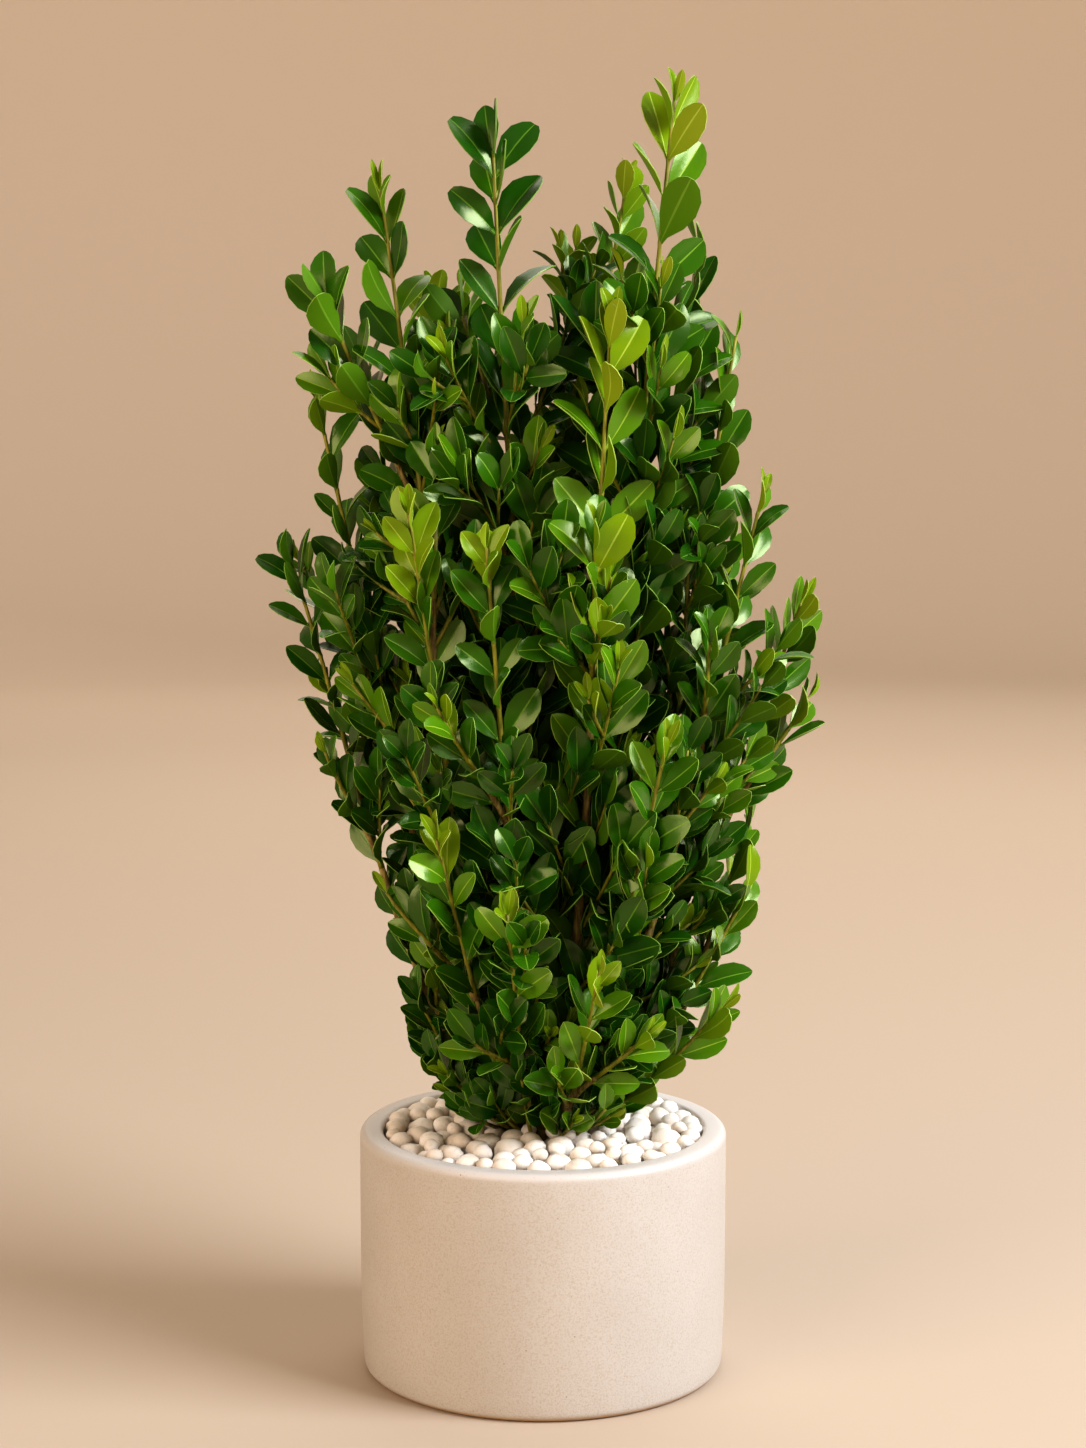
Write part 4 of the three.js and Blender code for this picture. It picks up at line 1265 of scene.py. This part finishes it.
LEAF_SAMPLES = np.array([[0, 0.32], [0, 0.62], [0, 0.94], [-0.4, 0.6], [0.4, 0.6]])
LEAF_REACH_MOST = {"stem": 1.0, "fork": 1.0, "twig": 0.96}
TONES = ("deep", "green", "fresh", "young")
TONE_STEPS = (0.14, 0.74, 0.12)  # a tone darker, the same, a tone lighter
# Inside this share of the crown, twig tones lean deep: partly real, partly painted shade.
INNER_SHARE = 0.62
OUTER_TWIG_TONES = (0.34, 0.5, 0.16)
INNER_TONES_WITH_PAINTED_SHADE = (0.85, 0.15, 0.0)

limbs = NearPoints(LIMB_CLEARANCE)
for shoot in shoots:
    limbs.add(shoot.point(np.arange(0, shoot.length, LIMB_FINE_STEP)))
blades = NearPoints(LEAF_CLEARANCE)
leaves = {tone: [] for tone in TONES}


def turn_to_light(way, face, place):
    """The roll that brings the upper face towards the light, up and out of the crown."""
    light = np.array([place[0], place[1], 0.0])
    light /= max(np.linalg.norm(light), 1 * MM)
    light += LIGHT_FRONT
    light[2] = LIGHT_UP
    light -= way * (light @ way)
    roll = math.atan2(-(light @ np.cross(way, face)), light @ face)
    roll *= LIGHT_SHARE * min(1, np.linalg.norm(light))
    return max(-LIGHT_ROLL_MOST, min(LIGHT_ROLL_MOST, roll))


def room_for(samples, owner, most):
    """Whether there is room for a leaf with these sample points."""
    placed_well = clear_of_pot(samples) and in_crown(samples[1:3], most)
    return placed_well and limbs.free(samples[1:]) and blades.free(samples, owner)


print("sample points on limbs", sum(len(points) for points in limbs.boxes.values()))

# %% Grow the leaves


def tone_of(shoot, order):
    """Young leaves are yellow-green, the next pair fresh green, and the rest as the shoot is. A few
    leaves are a tone lighter or darker than their neighbours."""
    tone = "fresh" if shoot.young and order == shoot.young else shoot.tone
    if order < shoot.young:
        tone = "young"
    step = growth.choice([-1, 0, 1], p=TONE_STEPS)
    return TONES[int(np.clip(TONES.index(tone) + step, 0, len(TONES) - 1))]


def grow_leaf(shoot, node, side, owner):
    """Places one leaf. Returns whether there was room."""
    distance, turn, order, _ = node
    along, out = shoot.sideways(distance, turn, side)
    pairs = TIP_KINDS["growing" if shoot.young else "resting"]
    grown, opening = pairs[min(order, len(pairs) - 1)]
    opening = math.radians(opening) * growth.uniform(*ANGLE_PLAY)
    length = shoot.leaf * grown * growth.uniform(*LENGTH_PLAY)
    width = growth.uniform(*WIDTH_PLAY) * (YOUNG_WIDTH if grown < YOUNG_UNDER else 1)
    roll_play = growth.uniform(-ROLL_PLAY, ROLL_PLAY)
    shape = leaf_shapes[growth.integers(len(leaf_shapes))]
    root = shoot.point(distance) + out * shoot.radius(distance) * 0.5
    for open_factor, size_factor in LEAF_TRIES:
        lean = opening * open_factor
        way = along * math.cos(lean) + out * math.sin(lean)
        face = along * math.sin(lean) - out * math.cos(lean)
        roll = turn_to_light(way, face, root) + roll_play
        across = np.cross(way, face)
        axes = np.column_stack([across * math.cos(roll) + face * math.sin(roll), way,
                                face * math.cos(roll) - across * math.sin(roll)])
        size = length * size_factor
        flat = np.column_stack([LEAF_SAMPLES * [LEAF_WIDTH, 1], np.zeros(len(LEAF_SAMPLES))])
        samples = flat @ axes.T * size + root
        if not room_for(samples, owner, LEAF_REACH_MOST[shoot.kind]):
            continue
        blades.add(samples, owner)
        shoot.leafy_to = max(shoot.leafy_to, distance)
        points = shape["points"] * np.array([width, 1, 1]) * size @ axes.T + root
        leaves[tone_of(shoot, order)].append((shape, points))
        return True
    return False


# Twigs inside the crown mostly get the deep tone, partly as shade leaves are darker and partly as painted
# shade for the crown's dark inside.
for twig in twigs:
    outer = crown_share(twig.point(np.array([0.5 * twig.length])))[0] > INNER_SHARE
    twig.tone = str(growth.choice(TONES[:3], p=OUTER_TWIG_TONES if outer else INNER_TONES_WITH_PAINTED_SHADE))
missing = 0
owner = 0
for k in range(max(len(s.nodes) for s in shoots)):
    for shoot in shoots:
        if k < len(shoot.nodes) and shoot.nodes[k][3]:
            owner += 1
            for side in (0, 1):
                missing += not grow_leaf(shoot, shoot.nodes[k], side, owner)
print({tone: len(found) for tone, found in leaves.items()}, "left out", missing)

# %% [markdown]
# ## The leaves' finish
# The upper face of a box leaf has a thick waxy skin, so it is deep green with soft bright shines.
# The underside is paler, yellower and matt. Midrib and edge hold little green and show as pale
# lines; the edge's paleness is partly painted rim light. The tones are plain colours, one set to each
# age of leaf, and a fine noise gives the skin its leathery relief.

# %% Leaf skins
LEATHER_GRAIN = 1.6 * MM
WAX_TINT = "ecf4b8"
SKIN_KINDS = [  # roughness, wax and relief, in the order of a leaf's slots
    ("waxy_leaf", 0.22, 0.7, 0.13),
    ("midrib", 0.45, 0.4, 0.1),
    ("leaf_underside", 0.55, 0.25, 0.2),
    ("leaf_edge_rim_light", 0.4, 0.4, 0.1),
]
YOUNG_WAX_MOST = 0.4
# The edge colours are pale partly as the margin is and partly as painted rim light.
LEAF_COLOURS = {  # blade, midrib, underside and edge
    "deep": ("1e4c06", "567d20", "436808", "6f9438"),
    "green": ("2f5f05", "6a9228", "517a0c", "84a646"),
    "fresh": ("4f7b0a", "8cab32", "6d900e", "9dba52"),
    "young": ("6f8c0b", "a2b83e", "84981a", "b0c25a"),
}
PIECE_TRIANGLES = 190000


def leaf_skin(name, colour, roughness, wax, relief):
    """Waxy or matt leaf skin with a leathery relief. Light that the wax throws back takes some of
    the leaf's own green."""
    skin, shader = new_material(
        name, Roughness=roughness, IOR=1.5, Specular_IOR_Level=wax, Specular_Tint=linear(WAX_TINT))
    shader.inputs["Base Color"].default_value = linear(colour)
    place = add_node(skin, "ShaderNodeTexCoord")
    leather = add_node(skin, "ShaderNodeTexNoise", inputs={"Scale": 1 / LEATHER_GRAIN, "Detail": 2},
                       links={"Vector": (place, "Object")})
    bump = add_node(skin, "ShaderNodeBump", inputs={"Strength": relief, "Distance": 0.25 * MM},
                    links={"Height": (leather, "Fac")})
    feed(skin, shader, "Normal", bump, "Normal")
    return skin


for tone, colours in LEAF_COLOURS.items():
    wax_most = YOUNG_WAX_MOST if tone == "young" else 1
    skins = [leaf_skin(f"{kind}_{tone}", colour, roughness, min(wax, wax_most), relief)
             for (kind, roughness, wax, relief), colour in zip(SKIN_KINDS, colours)]
    most = PIECE_TRIANGLES // leaf_triangles
    for part, first in enumerate(range(0, len(leaves[tone]), most)):
        piece = joined(f"leaves_{tone}_{part + 1}", leaves[tone][first:first + most], skins, 40)
        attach(piece, BODY)
        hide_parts(*foliage_nodes)

# %% [markdown]
# ## Stems and twigs
# The wooden part of a stem has thin bark with fine ridges along it, so its tube gets that relief in
# the mesh. Towards the tip the stem is young, smooth and green, with a small knuckle at each pair
# of leaves. A tube is a disc that is extruded ring by ring, and each limb takes a copy of it whose
# rings are moved onto the limb's own path.

# %% Tubes
BARK_RIDGES = [(3, 160), (5, -230), (7, 310)]  # how many go round, and their drift to the metre
KNUCKLE_HALF = 1.3 * MM
KNUCKLE_ROOM = 2 * MM
RING_GAP = 1.6 * MM
tube_cache = {}


def tube_shape(sides, rings):
    """A closed tube of radius 1 from z = 0 to z = rings - 1, one unit to a step."""
    if (sides, rings) not in tube_cache:
        deselect()
        bpy.ops.mesh.primitive_circle_add(vertices=sides, radius=1, fill_type="NGON")
        bpy.ops.object.mode_set(mode="EDIT")
        bpy.ops.mesh.select_all(action="SELECT")
        for _ in range(rings - 1):
            bpy.ops.mesh.extrude_region_move(TRANSFORM_OT_translate={"value": (0, 0, 1)})
        bpy.ops.mesh.select_all(action="SELECT")
        bpy.ops.mesh.normals_make_consistent(inside=False)
        bpy.ops.object.mode_set(mode="OBJECT")
        tube_cache[sides, rings] = shape_of(bpy.context.object)
    return tube_cache[sides, rings]


def limb_copy(shoot, places, swell, sides, relief=0.0):
    """A tube whose rings stand at places along the shoot, each as much swollen as swell says. A
    relief gives it ridges along its length."""
    shape = tube_shape(sides, len(places))
    ring = np.rint(shape["points"][:, 2]).astype(int)
    distance = places[ring]
    along, first, second = shoot.across(distance)
    radius = shoot.radius(distance) * swell[ring]
    turn = np.arctan2(shape["points"][:, 1], shape["points"][:, 0])
    if relief:
        phases = growth.uniform(0, 6, len(BARK_RIDGES))
        ridges = sum(np.sin(turn * count + phase + distance * drift)
                     for (count, drift), phase in zip(BARK_RIDGES, phases))
        radius = radius * (1 + relief * ridges / 2)
    over = first * (np.cos(turn) * radius)[:, None]
    return shape, shoot.point(distance) + over + second * (np.sin(turn) * radius)[:, None]


def ring_places(shoot, low, high, step, knuckle):
    """Rings at even steps, with three at each node, and how much each ring is swollen."""
    marks = [(d, 1.0) for d in np.linspace(low, high, max(2, round((high - low) / step) + 1))]
    for distance, _, order, _ in shoot.nodes:
        if order and low + KNUCKLE_ROOM < distance < high - KNUCKLE_ROOM:
            marks = [m for m in marks if abs(m[0] - distance) > RING_GAP or m[0] in (low, high)]
            marks += [(distance - KNUCKLE_HALF, 1.0), (distance, knuckle), (distance + KNUCKLE_HALF, 1.0)]
    marks.sort()
    return np.array([m[0] for m in marks]), np.array([m[1] for m in marks])


print("ridges round the bark", [count for count, _ in BARK_RIDGES])

# %% Wooden and green lengths of each shoot
WOOD_SHARE = {"stem": 0.48, "fork": 0.35, "twig": 0.0}
COLLAR = 7 * MM
COLLAR_SWELL = 0.45
WOOD_STEP, WOOD_KNUCKLE, WOOD_SIDES, WOOD_RELIEF = 3.5 * MM, 1.12, 11, 0.07
GREEN_STEP, GREEN_KNUCKLE = 6 * MM, 1.22
GREEN_SIDES = {"stem": 7, "fork": 7, "twig": 6}

bark_copies = []
green_copies = []
for shoot in (s for s in shoots if s.leafy_to):
    top = min(shoot.length, shoot.leafy_to + PAST_LEAF)
    wood_end = WOOD_SHARE[shoot.kind] * top
    if wood_end:
        places, swell = ring_places(shoot, 0, wood_end, WOOD_STEP, WOOD_KNUCKLE)
        swell = swell * (1 + COLLAR_SWELL * np.clip(1 - places / COLLAR, 0, 1) ** 2)
        bark_copies.append(limb_copy(shoot, places, swell, WOOD_SIDES, WOOD_RELIEF))
    places, swell = ring_places(shoot, wood_end, top, GREEN_STEP, GREEN_KNUCKLE)
    green_copies.append(limb_copy(shoot, places, swell, GREEN_SIDES[shoot.kind]))
print("wooden lengths", len(bark_copies), "green lengths", len(green_copies))

# %% [markdown]
# ## The root crown
# Old box plants that are cut back make a low woody crown from which all stems rise. It is turned
# from its flare to its dome, and its surface is broken up by two displacements, a coarse one for
# burls and a fine one for bark.

# %% Root crown
FLARE_RADIUS = 18.2 * MM
FOOT_BOTTOM = 81.3 * MM
FOOT_NECK_RADIUS = 16.4 * MM
FOOT_NECK_HEIGHT = 1.6 * MM
FOOT_WAIST_RADIUS = 15.4 * MM
FOOT_FLARE_HEIGHT = 4 * MM
DOME_STEPS = 10
FOOT_SIDES = 56
FOOT_RELIEF = [("burls", 7 * MM, 1.6 * MM), ("bark", 1.3 * MM, 0.7 * MM)]  # size and strength

outline = [(0, FOOT_BOTTOM), (FLARE_RADIUS, FOOT_BOTTOM),
           (FOOT_NECK_RADIUS, FOOT_BOTTOM + FOOT_NECK_HEIGHT),
           (FOOT_WAIST_RADIUS, FOOT_BOTTOM + FOOT_FLARE_HEIGHT)]
for k in range(DOME_STEPS + 1):
    turn = math.pi / 2 * k / DOME_STEPS
    outline.append((DOME_RADIUS * math.cos(turn), DOME_CENTRE.z + DOME_RADIUS * math.sin(turn)))
foot = settle_place(turned(outline, FOOT_SIDES), "root_crown")
subdivide = foot.modifiers.new("finer", "SUBSURF")
subdivide.levels = subdivide.render_levels = 1
for name, size, strength in FOOT_RELIEF:
    texture = bpy.data.textures.new(name, "CLOUDS")
    texture.noise_scale = size
    displace = foot.modifiers.new(name, "DISPLACE")
    displace.texture = texture
    displace.strength = strength
    displace.mid_level = 0.6
apply_all(foot)
smooth(foot, 60)
print("root crown faces", len(foot.data.polygons))

# %% [markdown]
# ## The finish of wood and green stems
# Old box bark is thin and grey-brown with ochre in its cracks, drawn out along the stem. Green
# stems are yellow-green with an ochre cast, smooth and slightly waxy. Both patterns are long in Z,
# because the stems mostly rise.

# %% Bark and green stem
STREAK_SQUEEZE = 0.16
BARK_GRAIN = 1.1 * MM
GREEN_GRAIN = 1.4 * MM


def stem_finish(name, stops, roughness, grain, strength):
    """A finish with streaks along Z. The grain is the streaks' width."""
    finish, shader = new_material(name, Roughness=roughness, IOR=1.45)
    place = add_node(finish, "ShaderNodeTexCoord")
    drawn = add_node(finish, "ShaderNodeMapping", inputs={"Scale": (1, 1, STREAK_SQUEEZE)},
                     links={"Vector": (place, "Object")})
    streaks = add_node(finish, "ShaderNodeTexNoise", inputs={"Scale": 1 / grain, "Detail": 4},
                       links={"Vector": (drawn, "Vector")})
    ramp = add_node(finish, "ShaderNodeValToRGB", links={"Fac": (streaks, "Fac")})
    ramp_stops(ramp, [(at, linear(colour)) for at, colour in stops])
    feed(finish, shader, "Base Color", ramp, "Color")
    bump = add_node(finish, "ShaderNodeBump", inputs={"Strength": strength, "Distance": 0.3 * MM},
                    links={"Height": (streaks, "Fac")})
    feed(finish, shader, "Normal", bump, "Normal")
    return finish


box_bark = stem_finish(
    "box_bark", [(0.32, "564420"), (0.5, "857038"), (0.7, "ac9656")], 0.75, BARK_GRAIN, 0.6)
green_stem = stem_finish(
    "green_box_stem", [(0.3, "5a5a10"), (0.5, "7e7a1c"), (0.72, "9e982e")], 0.5, GREEN_GRAIN, 0.2)
foot.data.materials.append(box_bark)
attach(foot, BODY)
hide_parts("stem_foot")

wood = joined("woody_stems", bark_copies, [box_bark], 180)
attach(wood, BODY)
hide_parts(*bough_nodes)
green = joined("green_stems", green_copies, [green_stem], 180)
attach(green, BODY)
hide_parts(*foliage_nodes)
